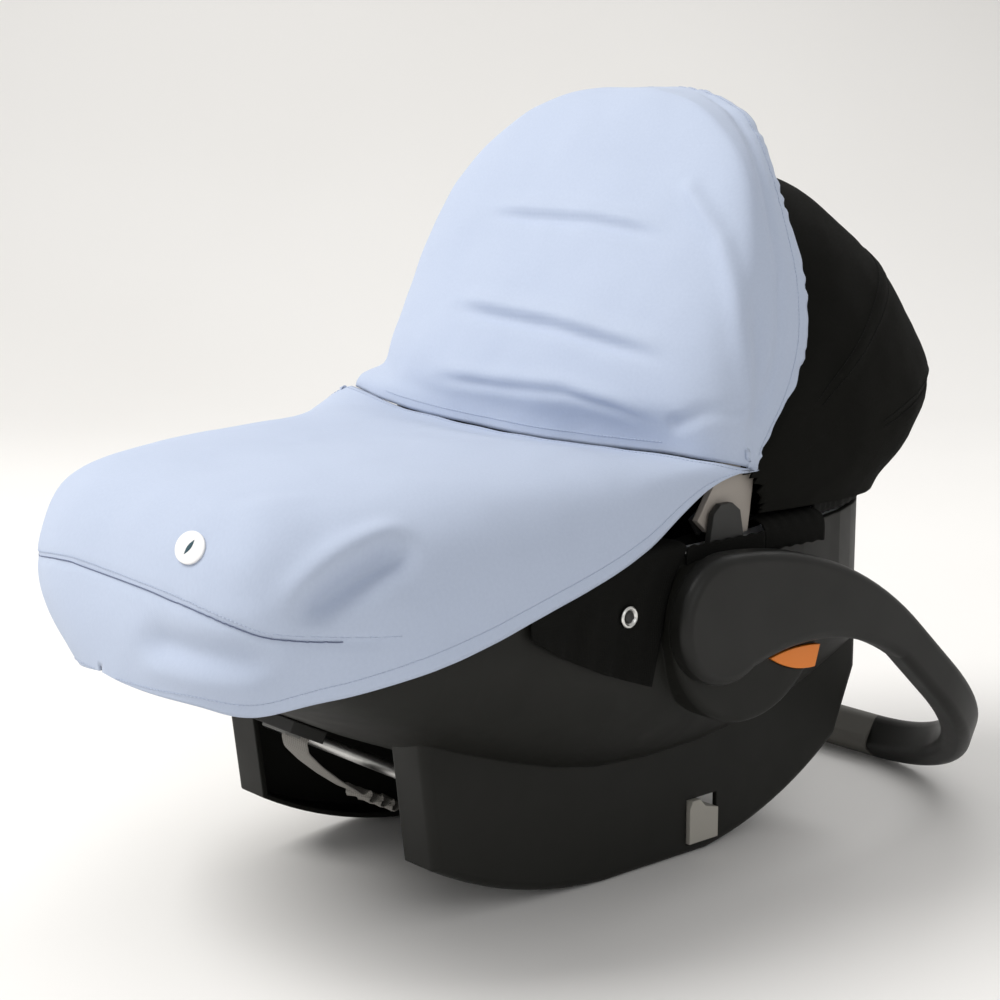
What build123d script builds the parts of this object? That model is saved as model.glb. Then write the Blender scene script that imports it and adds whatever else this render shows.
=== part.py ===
from build123d import *
import math
import os

# Infant car seat: a rocker-bottomed carrier with a folding canopy, a stretch cover and a swinging carry handle.
# X runs across the seat, +Y is the head end, +Z is up. The origin is on the floor under the middle.
# Lengths are millimetres, angles are degrees.

# ---- overall sizes
hub_width = 432.0        # across the outer faces of the handle hubs
nose_y = -362.0          # front of the cover at the foot end
shell_half = 186.0       # half the shell's width at its widest
shell_wall = 5.0
fit_gap = 0.3            # between neighbours that only touch

# ---- carrier shell, stations from foot to head: y, half width, underside height, rim height
shell_stations = [
    (-345, 112, 207, 250), (-305, 155, 177, 251), (-250, 175, 149, 250), (-200, 182, 123, 249),
    (-120, 185, 90, 249), (-40, 186, 68, 250), (60, 184, 66, 251), (150, 163, 74, 252),
    (205, 150, 88, 253), (264, 140, 112, 254),
]
shell_power = 2.4        # roundness of the bucket's cross section
shell_shoulder = 0.75    # share of the height where the side turns upright
back_y = 255.0           # middle of the shell's back
back_corner = (150.0, 188.0)
back_round = (108.0, 236.0)

# ---- rockers under the shell
rocker_inner = 84.0
rocker_outer = 118.0
rocker_wall = 4.0
rocker_edge = 7.0
rocker_foot = (-187.0, 46.0)
rocker_flat_front = -32.0
rocker_flat_rear = 74.0
rocker_rear = (218.0, 60.0)
rocker_end_y = 240.0
rocker_top = 150.0

# ---- foam liner and seat pad, stations: y, half width, depth of the hollow
nest_stations = [
    (-331, 96, 238), (-250, 150, 192), (-150, 159, 137), (-60, 160, 100), (20, 158, 97),
    (80, 149, 125), (140, 136, 183), (196, 122, 243), (234, 104, 270),
]
liner_thick = 30.0
pad_thick = 9.0
pad_rise = 9.0           # pad above the shell's rim
skirt_thick = 1.2
skirt_gap = 1.0
skirt_front = -165.0
fold_rise = 5.0

# ---- handle
pivot_y = -10.0
pivot_z = 208.0
hub_radius = 45.0
arm_inner = 192.0        # inner face of the arm beyond the hub
arm_recess = 200.4       # inner face of the arm beside the boss
arm_recess_radius = 115.0
bar_y = 345.0            # middle of the crossbar
bar_z = 18.3
bar_depth = 24.0
arm_thick = 31.0
bow_corner = 150.0       # centreline radius of the bow's corners
bow_edge = 7.0
grip_half = 58.0
grip_proud = 1.2
grip_core = 4.0          # how much thinner the bar is inside the grip
pin_radius = 8.0
pin_gap = 0.05

# ---- hub bosses on the shell
boss_outer = 200.0
boss_root = 176.0
boss_edge = 6.0
gear_radius = 26.0
gear_teeth = 12
gear_thick = 5.0
spring_radius = 15.0
button_proud = 2.0
button_travel = 5.0
button_room = 9.0

# ---- canopy
canopy_y = 13.0
canopy_z = 271.0
bow_lean = 19.5          # front bow, degrees back from upright
rear_bow_lean = 55.0
canopy_half = 184.4
canopy_skin = 2.5
canopy_root = 62.0       # the fabric starts this far from the hinge
bracket_reach = 55.7
bracket_sweep = 50.0     # radius that the folding bracket sweeps inside the rim
hinge_radius = 4.0
bow_thick = 3.0
bow_width = 14.0
hood_skin = 3.0
front_bow_half = 178.4
rear_bow_half = 168.0
hood_half = 188.0
cover_half = 192.0
cover_skin = 2.4

# ---- harness
web_thick = 1.6
web_width = 30.0
harness_x = 30.0

# ---- base latch
tab_y = 66.0
tab_z = 26.0
tab_width = 30.0
tab_height = 33.0
tab_travel = 6.0


# ================================================================ helpers
def plate(x0, x1, *edges):
    """Closed outline in the Y-Z plane, made solid from x0 to x1."""
    face = Plane.YZ.offset(x0) * make_face(Curve() + list(edges))
    return extrude(face, amount=x1 - x0)


def box(x0, x1, y0, y1, z0, z1):
    return Pos((x0 + x1) / 2, (y0 + y1) / 2, (z0 + z1) / 2) * Box(x1 - x0, y1 - y0, z1 - z0)


def rod_x(radius, x0, x1, y, z):
    return Pos((x0 + x1) / 2, y, z) * Rot(0, 90, 0) * Cylinder(radius, x1 - x0)


def other_side(shape):
    return mirror(shape, about=Plane.YZ)


def both(shape):
    return shape + other_side(shape)


def save(name, shape):
    export_step(shape, f"parts/{name}.step")


def save_pair(name, shape):
    save(f"{name}_left", other_side(shape))
    save(f"{name}_right", shape)


def smooth_rows(rows, steps):
    """Rows of sizes with smoothly blended rows between them."""
    out = []
    for i in range(len(rows) - 1):
        before, a = rows[max(i - 1, 0)], rows[i]
        b, after = rows[i + 1], rows[min(i + 2, len(rows) - 1)]
        for k in range(steps):
            t = k / steps
            out.append(tuple(
                0.5 * (2 * q + (r - p) * t + (2 * p - 5 * q + 4 * r - s) * t * t + (3 * q - p - 3 * r + s) * t ** 3)
                for p, q, r, s in zip(before, a, b, after)))
    out.append(tuple(rows[-1]))
    return out


def superellipse(half, rise, power, count=9):
    """Points of a superelliptic arch from +half over the top to -half."""
    points = []
    for i in range(count):
        angle = math.pi * i / (count - 1)
        c, s = round(math.cos(angle), 9), round(math.sin(angle), 9)
        points.append((math.copysign(half * abs(c) ** (2 / power), c), rise * abs(s) ** (2 / power)))
    return points


# ================================================================ carrier shell
def trough(y, half, low, top, shoulder):
    """One upright cross section of a rounded trough."""
    curve = [(x, shoulder - z) for x, z in superellipse(half, shoulder - low, shell_power)]
    bottom = Spline(*curve)
    sides = Polyline((-half, shoulder), (-half, top), (half, top), (half, shoulder))
    return Plane.XZ.offset(-y) * make_face(Curve() + [bottom, sides])


def back_plan(inset):
    """Region ahead of the rounded back, as seen from above."""
    cx, cy = back_corner[0] - inset, back_corner[1]
    rx, ry = back_round[0] - inset * 0.65, back_round[1] - inset * 0.76
    wide = shell_half + 40
    outline = Curve() + [
        Polyline((-cx, cy), (-wide, 0), (-wide, -420), (wide, -420), (wide, 0), (cx, cy)),
        Spline((cx, cy), (rx, ry), (0, back_y - inset), (-rx, ry), (-cx, cy)),
    ]
    return extrude(Pos(0, 0, -5) * make_face(outline), amount=420)


def bucket(inset, extra_top):
    """Solid of the bucket's shape, inset on every side."""
    rows = smooth_rows(shell_stations, 2)
    rows[0] = (rows[0][0] + inset,) + rows[0][1:]
    sections = [trough(y, half - inset, low + inset, rim + extra_top, low + shell_shoulder * (rim - low))
                for y, half, low, rim in rows]
    return loft(sections, ruled=True) & back_plan(inset)


def rocker_outline(inset):
    a = (rocker_foot[0] - 13 + inset, rocker_top)
    b = (rocker_foot[0] + inset, rocker_foot[1] + inset * 0.4)
    c = (rocker_flat_front, inset)
    d = (rocker_flat_rear, inset)
    e = (rocker_rear[0] - inset * 0.7, rocker_rear[1] + inset * 0.7)
    f = (rocker_end_y - inset, e[1] + 52)
    g = (rocker_end_y - inset, rocker_top)
    front = ((b[0] + c[0]) / 2 - 2, c[1] + (b[1] - c[1]) * 0.30)
    rear = ((d[0] + e[0]) / 2 + 3, d[1] + (e[1] - d[1]) * 0.34)
    return [Line(a, b), ThreePointArc(b, front, c), Line(c, d), ThreePointArc(d, rear, e), Polyline(e, f, g, a)]


def rocker_leg():
    """One hollow rocker, open towards the channel between the pair."""
    solid = plate(rocker_inner, rocker_outer, *rocker_outline(0))
    edges = [e for e in solid.edges() if e.center().X > rocker_outer - 0.1 and e.center().Z < rocker_top - 1]
    solid = fillet(edges, rocker_edge)
    return solid - plate(rocker_inner - 1, rocker_outer - rocker_wall, *rocker_outline(rocker_wall))


def boss_outline():
    """Pivot housing, from the front of the hub back to the button."""
    front = pivot_y - 40
    return [
        ThreePointArc((front + 4, pivot_z - 22), (front, pivot_z + 2), (pivot_y - 22, pivot_z + 35)),
        ThreePointArc((pivot_y - 22, pivot_z + 35), (pivot_y + 25, pivot_z + 37), (pivot_y + 70, pivot_z + 12)),
        Line((pivot_y + 70, pivot_z + 12), (pivot_y + 109, pivot_z - 28)),
        ThreePointArc((pivot_y + 109, pivot_z - 28), (pivot_y + 58, pivot_z - 78), (front + 4, pivot_z - 22)),
    ]


def hub_boss():
    solid = plate(boss_root, boss_outer, *boss_outline())
    rim = [e for e in solid.edges() if e.center().X > boss_outer - 0.1]
    return fillet(rim, boss_edge)


def button_outline(gap):
    """Wedge just under the arm, pointing at the hub."""
    tip, top, heel, low = (44 - gap, 170), (96 + gap, 171.5 + gap), (91 + gap, 156 - gap), (70, 158.5 - gap)
    return [Spline(tip, (66, 173 + gap), top), Line(top, heel), Spline(heel, low, tip)]


def tab_slot(gap):
    return (tab_y - tab_width / 2 - gap, tab_y + tab_width / 2 + gap,
            tab_z - tab_height / 2 - gap, tab_z + tab_height / 2 + gap)


gear_room = (shell_half - shell_wall - 1, boss_outer - 5)    # X span of the lock gear's pocket


def carrier_shell():
    inner = bucket(shell_wall, 60)
    legs = both(rocker_leg())
    bosses = both(hub_boss())
    shell = bucket(0, 0) + legs + bosses - inner
    y0, y1, z0, z1 = tab_slot(1.0)
    cuts = [
        rod_x(gear_radius + 2, gear_room[0] - 6, gear_room[1], pivot_y, pivot_z),
        rod_x(pin_radius + pin_gap, gear_room[0], boss_outer + 1, pivot_y, pivot_z),
        plate(shell_half - shell_wall - 9, boss_outer + 1, *button_outline(fit_gap)),
        box(rocker_outer - 20, rocker_outer + 1, y0, y1, z0, z1),
    ]
    for cut in cuts:
        shell = shell - cut - other_side(cut)
    shell = shell - back_handle_room(0.8)
    return shell


# ================================================================ liner, pad and harness
def nest(inset, top):
    """Hollow that the liner and the pad follow, inset by a thickness."""
    rows = smooth_rows(nest_stations, 2)
    rows[0] = (rows[0][0] + inset * 0.9,) + rows[0][1:]
    rows[-1] = (rows[-1][0] - inset * 0.9,) + rows[-1][1:]
    rim = shell_stations[0][3]
    sections = []
    for y, half, low in rows:
        floor = low + inset
        ceiling = max(rim, floor + 12) + top
        sections.append(trough(y, half - inset, floor, ceiling, floor + 0.55 * (max(rim, floor + 8) - floor)))
    return loft(sections, ruled=True)


def foam_liner():
    """Crushable liner, cut clear of the folding brackets and of the buttons' travel."""
    liner = (bucket(shell_wall + fit_gap, -1) & nest(-liner_thick, 60)) - nest(0, 70)
    inner = front_bow_half - bow_thick - 4
    sweep = rod_x(bracket_sweep, inner, shell_half, canopy_y, canopy_z)
    travel = plate(shell_half - shell_wall - button_room, shell_half, *button_outline(1.0))
    for cut in (sweep, travel):
        liner = liner - cut - other_side(cut)
    return liner


def side_skirt():
    """Pad fabric folded over the rim and hanging outside the shell, ahead of the hub."""
    x0, x1 = shell_half + skirt_gap, shell_half + skirt_gap + skirt_thick
    rim = shell_stations[0][3]
    top = rim + fold_rise
    low = Spline((skirt_front, 214), (-140, 200), (-105, 184), (-60, 169))
    rear = Spline((-60, 169), (-54, 200), (-48, 226), (-30, rim + 1))
    sheet = plate(x0, x1, low, rear, Polyline((-30, rim + 1), (-30, top), (skirt_front, top), (skirt_front, 214)))
    fold = box(158, x1, skirt_front, -30, rim + 1.2, top)
    return sheet + fold


def seat_pad():
    lining = nest(fit_gap, pad_rise) - nest(pad_thick, 80)
    skirts = both(side_skirt())
    return lining + (skirts - nest(pad_thick - 4, 80))


def strap_between(points, x, width, thick, side=0.0):
    """Flat webbing that follows points in the Y-Z plane, at x across the seat."""
    upper = [(y + side, z + thick) for y, z in reversed(points)]
    outline = Polyline(*points, *upper, points[0])
    return plate(x - width / 2, x + width / 2, outline)


backrest = ((80.0, 136.0), (196.0, 254.0))      # line along the pad's backrest
back_angle = math.degrees(math.atan2(backrest[1][1] - backrest[0][1], backrest[1][0] - backrest[0][0]))
strap_lift = 4.0
seat_top = 112.5                                # just above the pad where the baby sits
buckle_y = (-20.0, 38.0)
buckle_high = 18.0
tongue_z = (seat_top + 8, seat_top + 11)


def on_back(along, lift, x=0.0):
    """Place on the backrest, x across, measured up the slope and off it."""
    (y0, z0), _ = backrest
    a = math.radians(back_angle)
    y = y0 + along * math.cos(a) - lift * math.sin(a)
    z = z0 + along * math.sin(a) + lift * math.cos(a)
    return Pos(x, y, z) * Rot(back_angle, 0, 0)


def back_block(width, length, thick, along, lift, x=0.0, edge=0.0):
    block = Box(width, length, thick)
    if edge:
        block = fillet(block.edges().filter_by(Axis.Z), edge)
    return on_back(along, lift + thick / 2, x) * block


def head_insert():
    """Horseshoe cushion round the baby's head."""
    outline = fillet(Rectangle(196, 140).vertices(), 60)
    hollow = Pos(0, -34) * fillet(Rectangle(112, 140).vertices(), 40)
    return on_back(118, 2.8) * extrude(outline - hollow, amount=26)


def harness_strap():
    """From the shoulder slot down the backrest to the buckle's tongue."""
    top, bend = on_back(138, strap_lift).position, on_back(-10, strap_lift).position
    points = [(top.Y, top.Z), (bend.Y, bend.Z), (buckle_y[1] + 16, tongue_z[0] + 1)]
    return strap_between(points, harness_x, web_width, web_thick)


def shoulder_pad():
    block = back_block(web_width + 14, 96, 10, 84, strap_lift - 3.4, harness_x, 14)
    return block - back_block(web_width + 0.8, 120, web_thick + 2.2, 84, strap_lift - 1.4, harness_x)


def chest_clip():
    span = 2 * harness_x + web_width
    return back_block(span + 6, 24, 6, 14, strap_lift + web_thick + 1.2, 0, 8)


def crotch_strap():
    return box(-web_width / 2, web_width / 2, buckle_y[0] - 44, buckle_y[0] - fit_gap, seat_top + 3, seat_top + 3 + web_thick)


def button_box(gap, drop, rise):
    top = seat_top + buckle_high
    return box(-12 - gap, 12 + gap, -12 - gap, 12 + gap, top - drop, top + rise)


def crotch_buckle():
    body = box(-27, 27, *buckle_y, seat_top, seat_top + buckle_high)
    body = fillet(body.edges().filter_by(Axis.Z), 10)
    slots = both(box(7.5, 22.5, buckle_y[1] - 12, buckle_y[1] + 1, tongue_z[0] - 0.4, tongue_z[1] + 0.4))
    return body - button_box(0.3, 10.5, 1) - slots


def buckle_tongue():
    return box(8, 22, buckle_y[1] - 11, buckle_y[1] + 15.6, *tongue_z)


# ================================================================ handle
def hub_point(angle):
    a = math.radians(angle)
    return (pivot_y + hub_radius * math.cos(a), pivot_z + hub_radius * math.sin(a))


def handle_band():
    """Side view of the arms: a rounded hub that narrows into a downward bend."""
    length = math.hypot(bar_y - 187, bar_z - 160)
    t = ((bar_y - 187) / length, (bar_z - 160) / length)
    n = (-t[1], t[0])
    far = 45
    up_far = (bar_y + t[0] * far + n[0] * arm_thick / 2, bar_z + t[1] * far + n[1] * arm_thick / 2)
    low_far = (bar_y + t[0] * far - n[0] * arm_thick / 2, bar_z + t[1] * far - n[1] * arm_thick / 2)
    up_near = (187 + n[0] * arm_thick / 2, 160 + n[1] * arm_thick / 2)
    low_near = (187 - n[0] * arm_thick / 2, 160 - n[1] * arm_thick / 2)
    top, front, under = hub_point(90), hub_point(180), hub_point(-57)
    return plate(-hub_width / 2, hub_width / 2,
                 ThreePointArc(under, front, top), ThreePointArc(top, (100, 232), up_near),
                 Polyline(up_near, up_far, low_far, low_near),
                 ThreePointArc(low_near, (84, 178.5), under))


def bow_plane():
    """Plane of the bow: x across, y out from the pivot towards the crossbar."""
    a = math.atan2(bar_z - pivot_z, bar_y - pivot_y)
    return Plane(origin=(0, pivot_y, pivot_z), x_dir=(1, 0, 0), z_dir=(0, -math.sin(a), math.cos(a)))


def bow_reach():
    return math.hypot(bar_y - pivot_y, bar_z - pivot_z)


def bow_outline(half, reach, corner):
    """U of the bow, seen square on."""
    start = -hub_radius - 30
    r = corner
    k = r * (1 - math.sqrt(0.5))
    return Curve() + [
        Polyline((-half, reach - r), (-half, start), (half, start), (half, reach - r)),
        ThreePointArc((half, reach - r), (half - k, reach - k), (half - r, reach)),
        Line((half - r, reach), (-half + r, reach)),
        ThreePointArc((-half + r, reach), (-half + k, reach - k), (-half, reach - r)),
    ]


def handle_parts():
    plane = bow_plane()
    arm = hub_width / 2 - arm_inner
    reach = bow_reach()
    outer = make_face(bow_outline(hub_width / 2, reach + bar_depth / 2, bow_corner + arm / 2))
    inner = make_face(bow_outline(arm_inner, reach - bar_depth / 2, bow_corner - arm / 2))
    u_prism = extrude(plane * (outer - inner), amount=200, both=True)
    bow = handle_band() & u_prism
    bow = fillet([e for e in bow.edges() if e.length > 20], bow_edge)
    recess = rod_x(arm_recess_radius, arm_inner - 1, arm_recess, pivot_y, pivot_z)
    bore = rod_x(pin_radius + pin_gap, arm_recess - 1, hub_width / 2 - 3, pivot_y, pivot_z)
    for cut in (recess, bore):
        bow = bow - cut - other_side(cut)
    tilt = math.degrees(math.atan2(bar_z - 160, bar_y - 187))
    place = Pos(0, bar_y, bar_z) * Rot(tilt, 0, 0)

    def sleeve(grow, half, edge):
        block = Box(2 * half, bar_depth + grow, arm_thick + grow)
        return place * fillet(block.edges().filter_by(Axis.X), edge)

    grip_zone = sleeve(20, grip_half, 4)
    core = sleeve(-grip_core, grip_half + 1, 8)
    bow = (bow - grip_zone) + core
    grip = sleeve(grip_proud * 2, grip_half - fit_gap, 9.5) - sleeve(-grip_core + 0.1, grip_half + 2, 8.05)
    return bow, grip


def lock_gear():
    """Toothed disc that locks the arm, sliding in on the pivot pin."""
    x1 = gear_room[1] - 0.6
    x0 = x1 - gear_thick
    disc = rod_x(gear_radius - 3, x0, x1, pivot_y, pivot_z)
    for i in range(gear_teeth):
        tooth = Pos((x0 + x1) / 2, pivot_y, pivot_z) * Rot(360 / gear_teeth * i, 0, 0) * Pos(0, gear_radius - 3, 0)
        disc = disc + tooth * Box(gear_thick, 5, 5)
    return disc - rod_x(pin_radius + 0.4, x0 - 1, x1 + 1, pivot_y, pivot_z)


def pin_flange():
    return gear_room[0] + 2.0, gear_room[0] + 4.0


def pivot_pin():
    """Headed pin through the boss into the arm."""
    x0, x1 = pin_flange()
    return rod_x(18, x0, x1, pivot_y, pivot_z) + rod_x(pin_radius, x0, hub_width / 2 - 3.5, pivot_y, pivot_z)


def lock_spring():
    """Wave spring that pushes the lock gear outwards."""
    x0, x1 = pin_flange()[1] + 0.1, gear_room[1] - 0.6 - gear_thick - 0.1
    rings = 3
    pitch = (x1 - x0 - 1) / (rings - 1)
    spring = None
    for i in range(rings):
        x = x0 + i * pitch
        ring = rod_x(spring_radius, x, x + 1, pivot_y, pivot_z) - rod_x(spring_radius - 2, x - 1, x + 2, pivot_y, pivot_z)
        spring = ring if spring is None else spring + ring
    for i in range(rings - 1):
        x = x0 + i * pitch
        for turn in (0, 180):
            post = Pos(0, pivot_y, pivot_z) * Rot(turn + 90 * i, 0, 0) * Pos(0, spring_radius - 1, 0)
            spring = spring + post * box(x, x + pitch + 1, -1, 1, -2, 2)
    return spring


def handle_button():
    """Orange wedge that is pressed in to free the handle."""
    return plate(shell_half - shell_wall - 2, boss_outer + button_proud, *button_outline(0))


# ================================================================ canopy and hood
def lean_plane(lean):
    """Plane through the canopy hinge, x across, y up along the leaning bow."""
    a = math.radians(lean)
    return Plane(origin=(0, canopy_y, canopy_z), x_dir=(1, 0, 0), z_dir=(0, -math.cos(a), math.sin(a)))


def arch_face(lean, half, rise, power, root):
    curve = [p for p in superellipse(half, rise, power, 25) if p[1] > root]
    edges = [Spline(*curve), Polyline(curve[-1], (curve[-1][0], root - 6), (curve[0][0], root - 6), curve[0])]
    return lean_plane(lean) * make_face(Curve() + edges)


# lean, reach and roundness of the canopy from the front bow back to the rim band
canopy_stations = [(27, 294, 2.7), (40, 297, 3.1), (55, 298, 3.5), (74, 299, 3.9), (83, 278, 3.8), (88.5, 246, 3.6)]


def canopy_volume(inset, root):
    rows = smooth_rows(canopy_stations, 2)
    if inset:
        rows = [(rows[0][0] - 2,) + rows[0][1:]] + rows + [(rows[-1][0] + 2,) + rows[-1][1:]]
    return loft([arch_face(a, canopy_half - inset, b - inset, n, root) for a, b, n in rows], ruled=True)


def canopy_fabric():
    return canopy_volume(0, canopy_root) - canopy_volume(canopy_skin, canopy_root - 12)


def bow_strip(lean, half, rise, power, width, root):
    outer = arch_face(lean, half, rise, power, root)
    inner = arch_face(lean, half - bow_thick, rise - bow_thick, power, root - 10)
    return extrude(outer - inner, amount=width / 2, both=True)


def canopy_bracket():
    """Grey cheek that carries the front bow on the hinge."""
    a = math.radians(bow_lean)
    tip_y, tip_z = canopy_y + bracket_reach * math.sin(a), canopy_z + bracket_reach * math.cos(a)
    dy, dz = 12 * math.cos(a), -12 * math.sin(a)
    outline = Polyline((canopy_y - 20, canopy_z - 1), (canopy_y - 10, canopy_z - 10), (canopy_y + 8, canopy_z - 15),
                       (canopy_y + 30, canopy_z - 14), (canopy_y + 36, canopy_z + 30), (tip_y + dy, tip_z + dz),
                       (tip_y - dy, tip_z - dz), (canopy_y - 2, canopy_z + 26), (canopy_y - 20, canopy_z - 1))
    cheek = plate(front_bow_half - bow_thick - 2, front_bow_half, outline)
    return cheek - rod_x(hinge_radius + pin_gap, front_bow_half - 20, front_bow_half + 5, canopy_y, canopy_z)


def canopy_mount():
    """Ear standing on the shell's rim, with the canopy's hinge pin."""
    x0, x1 = shell_half - shell_wall, shell_half
    foot = shell_stations[6][3] + fit_gap
    ear = plate(x0, x1, Polyline((canopy_y - 16, foot), (canopy_y - 12, canopy_z + 4), (canopy_y - 5, canopy_z + 10),
                                 (canopy_y + 6, canopy_z + 10), (canopy_y + 14, canopy_z + 4),
                                 (canopy_y + 19, foot), (canopy_y - 16, foot)))
    return ear + rod_x(hinge_radius, rear_bow_half - 6, x0 + 1, canopy_y, canopy_z)


def rear_bow():
    """Second bow, with an eye round the hinge pin at each end."""
    strip = bow_strip(rear_bow_lean, rear_bow_half, 290, 3.5, bow_width, -8)
    eye = rod_x(hinge_radius + pin_gap, rear_bow_half - 10, rear_bow_half + 5, canopy_y, canopy_z)
    return strip - eye - other_side(eye)


def rim_band():
    """Dark band round the head end that the canopy is clipped to."""
    top = canopy_z + 6
    ring = (bucket(0, 30) - bucket(3, 60)) & box(-200, 200, 112, 270, shell_stations[-1][3] + fit_gap, top)
    return ring


def hood_section(z, half, front, side, rear):
    """D-shaped level cut of the hood."""
    edges = [
        ThreePointArc((-half, side), (0, front), (half, side)),
        Polyline((half, side), (half, rear), (-half, rear), (-half, side)),
    ]
    return Pos(0, 0, z) * make_face(Curve() + edges)


# height, half width, front at the middle, front at the sides, rear edge
hood_stations = [
    (312, 188, -44, 10, 56), (345, 187, -25, 22, 84), (390, 183, 0, 34, 103), (434, 177, 25, 48, 101),
    (480, 160, 49, 64, 108), (515, 136, 69, 77, 119), (540, 104, 81, 86, 130), (553, 70, 89, 92, 137),
    (559, 40, 94, 96, 140),
]


def hood():
    rows = smooth_rows(hood_stations, 2)
    outer = loft([hood_section(*row) for row in rows], ruled=True)
    inner_rows = [(z, half - hood_skin, front + hood_skin * 1.3, side + hood_skin, rear + 30)
                  for z, half, front, side, rear in rows]
    first = inner_rows[0]
    inner_rows[0] = (first[0] - 4,) + first[1:]
    inner_rows = [row if i == 0 else (row[0] - hood_skin,) + row[1:] for i, row in enumerate(inner_rows)]
    return outer - loft([hood_section(*row) for row in inner_rows], ruled=True)


# y, half width, hem height, crown height of the leg cover
cover_stations = [
    (nose_y, 74, 196, 268), (nose_y + 8, 112, 188, 288), (nose_y + 24, 140, 186, 303), (-312, 164, 192, 314),
    (-270, 180, 203, 320), (-215, 189, 216, 323), (-150, 192, 233, 324), (-90, 191.5, 250, 324),
    (-30, 191, 276, 322), (44, 190, 302, 318),
]
cover_power = 4.0
slit_middle = -46.0
slit_side = 8.0


def cover_section(y, half, hem, crown, drop):
    curve = [(x, hem + z) for x, z in superellipse(half, crown - hem, cover_power)]
    arch = Spline(*curve)
    base = Polyline((-half, hem), (-half, hem - drop), (half, hem - drop), (half, hem))
    return Plane.XZ.offset(-y) * make_face(Curve() + [arch, base])


def cover_volume(inset, drop):
    rows = smooth_rows(cover_stations, 2)
    if inset:
        rows[0] = (rows[0][0] + inset,) + rows[0][1:]
        rows.append((rows[-1][0] + 5,) + rows[-1][1:])
    return loft([cover_section(y, half - inset, hem, crown - inset, drop) for y, half, hem, crown in rows], ruled=True)


def leg_cover():
    skin = cover_volume(0, 0.5) - cover_volume(cover_skin, 20)
    slit = Curve() + [
        ThreePointArc((-cover_half - 6, slit_side), (0, slit_middle), (cover_half + 6, slit_side)),
        Polyline((cover_half + 6, slit_side), (cover_half + 6, 80), (-cover_half - 6, 80), (-cover_half - 6, slit_side)),
    ]
    return skin - extrude(Pos(0, 0, 150) * make_face(slit), amount=250)


# ================================================================ back and underside
back_handle_z = 150.0
back_handle_half = 46.0
back_handle_high = 17.0
bar_radius = 5.0
front_bar = (-162.0, 93.0)
rear_bar = (150.0, 44.0)


def back_handle_room(gap):
    half, high = back_handle_half + gap, back_handle_high + gap
    return box(-half, half, back_y - 40, back_y + 20, back_handle_z - high, back_handle_z + high)


def release_handle():
    """Finger pull in the back that frees the seat from its base."""
    y1 = back_y - 3
    half, high = back_handle_half, back_handle_high
    pull = box(-half, half, y1 - 16, y1, back_handle_z - high, back_handle_z + high)
    pull = fillet(pull.edges().filter_by(Axis.Y), 8)
    scoop = box(-half + 8, half - 8, y1 - 12, y1 + 1, back_handle_z - high + 9, back_handle_z + high - 9)
    rod = box(-8, 8, y1 - 34, y1 - 15, back_handle_z - 5, back_handle_z + 5)
    return (pull - scoop) + rod


def release_spring():
    """Coil behind the pull, drawn as its rings."""
    y0, y1 = back_y - 62, back_y - 37.4
    bar = Pos(0, (y0 + y1) / 2, back_handle_z) * Rot(90, 0, 0) * Cylinder(2, y1 - y0)
    for i in range(6):
        y = y0 + 1 + i * (y1 - y0 - 2) / 5
        bar = bar + Pos(0, y, back_handle_z) * Rot(90, 0, 0) * Cylinder(5, 1.6)
    return bar


def latch_tab():
    """Spring-loaded catch that sticks out of the rocker's slot."""
    y0, y1, z0, z1 = tab_slot(0)
    face = Polyline((y0, z0), (y1, z0), (y1, z1 - 10), (y0 + 16, z1 - 6), (y0 + 11, z1), (y0 + 3, z1), (y0, z1 - 6), (y0, z0))
    return plate(rocker_outer - 26, rocker_outer + 3, face)


def latch_bar(where):
    y, z = where
    x = rocker_outer - rocker_wall - fit_gap
    return rod_x(bar_radius, -x, x, y, z)


adjuster_at = (-222.0, 128.6)      # middle of the harness adjuster under the foot end
adjuster_slope = -27.0
adjuster_high = 8.5


def on_adjuster(y, z, block):
    return Pos(0, *adjuster_at) * Rot(adjuster_slope, 0, 0) * Pos(0, y, z) * block


def adjuster_strap():
    """Loose end of the harness webbing hanging out under the foot end."""
    path = [(-213.3, 123.7), (-216.0, 118.3), (-214, 110), (-203, 98), (-188, 85), (-170, 71), (-152, 60), (-141, 57)]
    return strap_between(path, 0, web_width, -web_thick, -web_thick)


def adjuster_housing():
    body = on_adjuster(0, 0, Box(48, 30, adjuster_high))
    return body - on_adjuster(-4, -3, Box(28.6, 13.6, 9)) - on_adjuster(10, 0, Box(34, 4.6, 12))


def adjuster_button():
    """Button that frees the webbing, pressed up into its housing."""
    return on_adjuster(-4, -adjuster_high / 2 + 0.5, Box(28, 13, 5))


def splitter_plate():
    """Yoke behind the backrest that joins the two harness straps to one."""
    plate_face = fillet(Rectangle(96, 34).vertices(), 8)
    for x, y, w in ((-30, 6, 40), (30, 6, 40), (0, -8, 40)):
        plate_face = plate_face - Pos(x * 0.82, y) * Rectangle(w * 0.8, 5)
    return Pos(0, 190, 150) * Rot(90, 0, 0) * extrude(plate_face, amount=2)


def pad_snaps():
    x0 = shell_half + skirt_gap + skirt_thick
    stud = rod_x(7.5, x0, x0 + 1.6, -82, 218) + rod_x(4, x0, x0 + 2.8, -82, 218)
    return both(stud)


def cover_badge():
    """Blank oval patch on the leg cover."""
    return badge_place() * extrude(Ellipse(13, 10), amount=1.2)


def badge_place():
    return Pos(0, -323, 297) * Rot(58, 0, 0)


def shell_screws():
    head = Cylinder(4.5, 2.6) + Pos(0, 0, 4) * Cylinder(2, 6)
    screws = None
    for x, y in ((60, -60), (60, 60), (30, 0)):
        for side in (-1, 1):
            screw = Pos(side * x, y, 59) * head
            screws = screw if screws is None else screws + screw
    return screws


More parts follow.
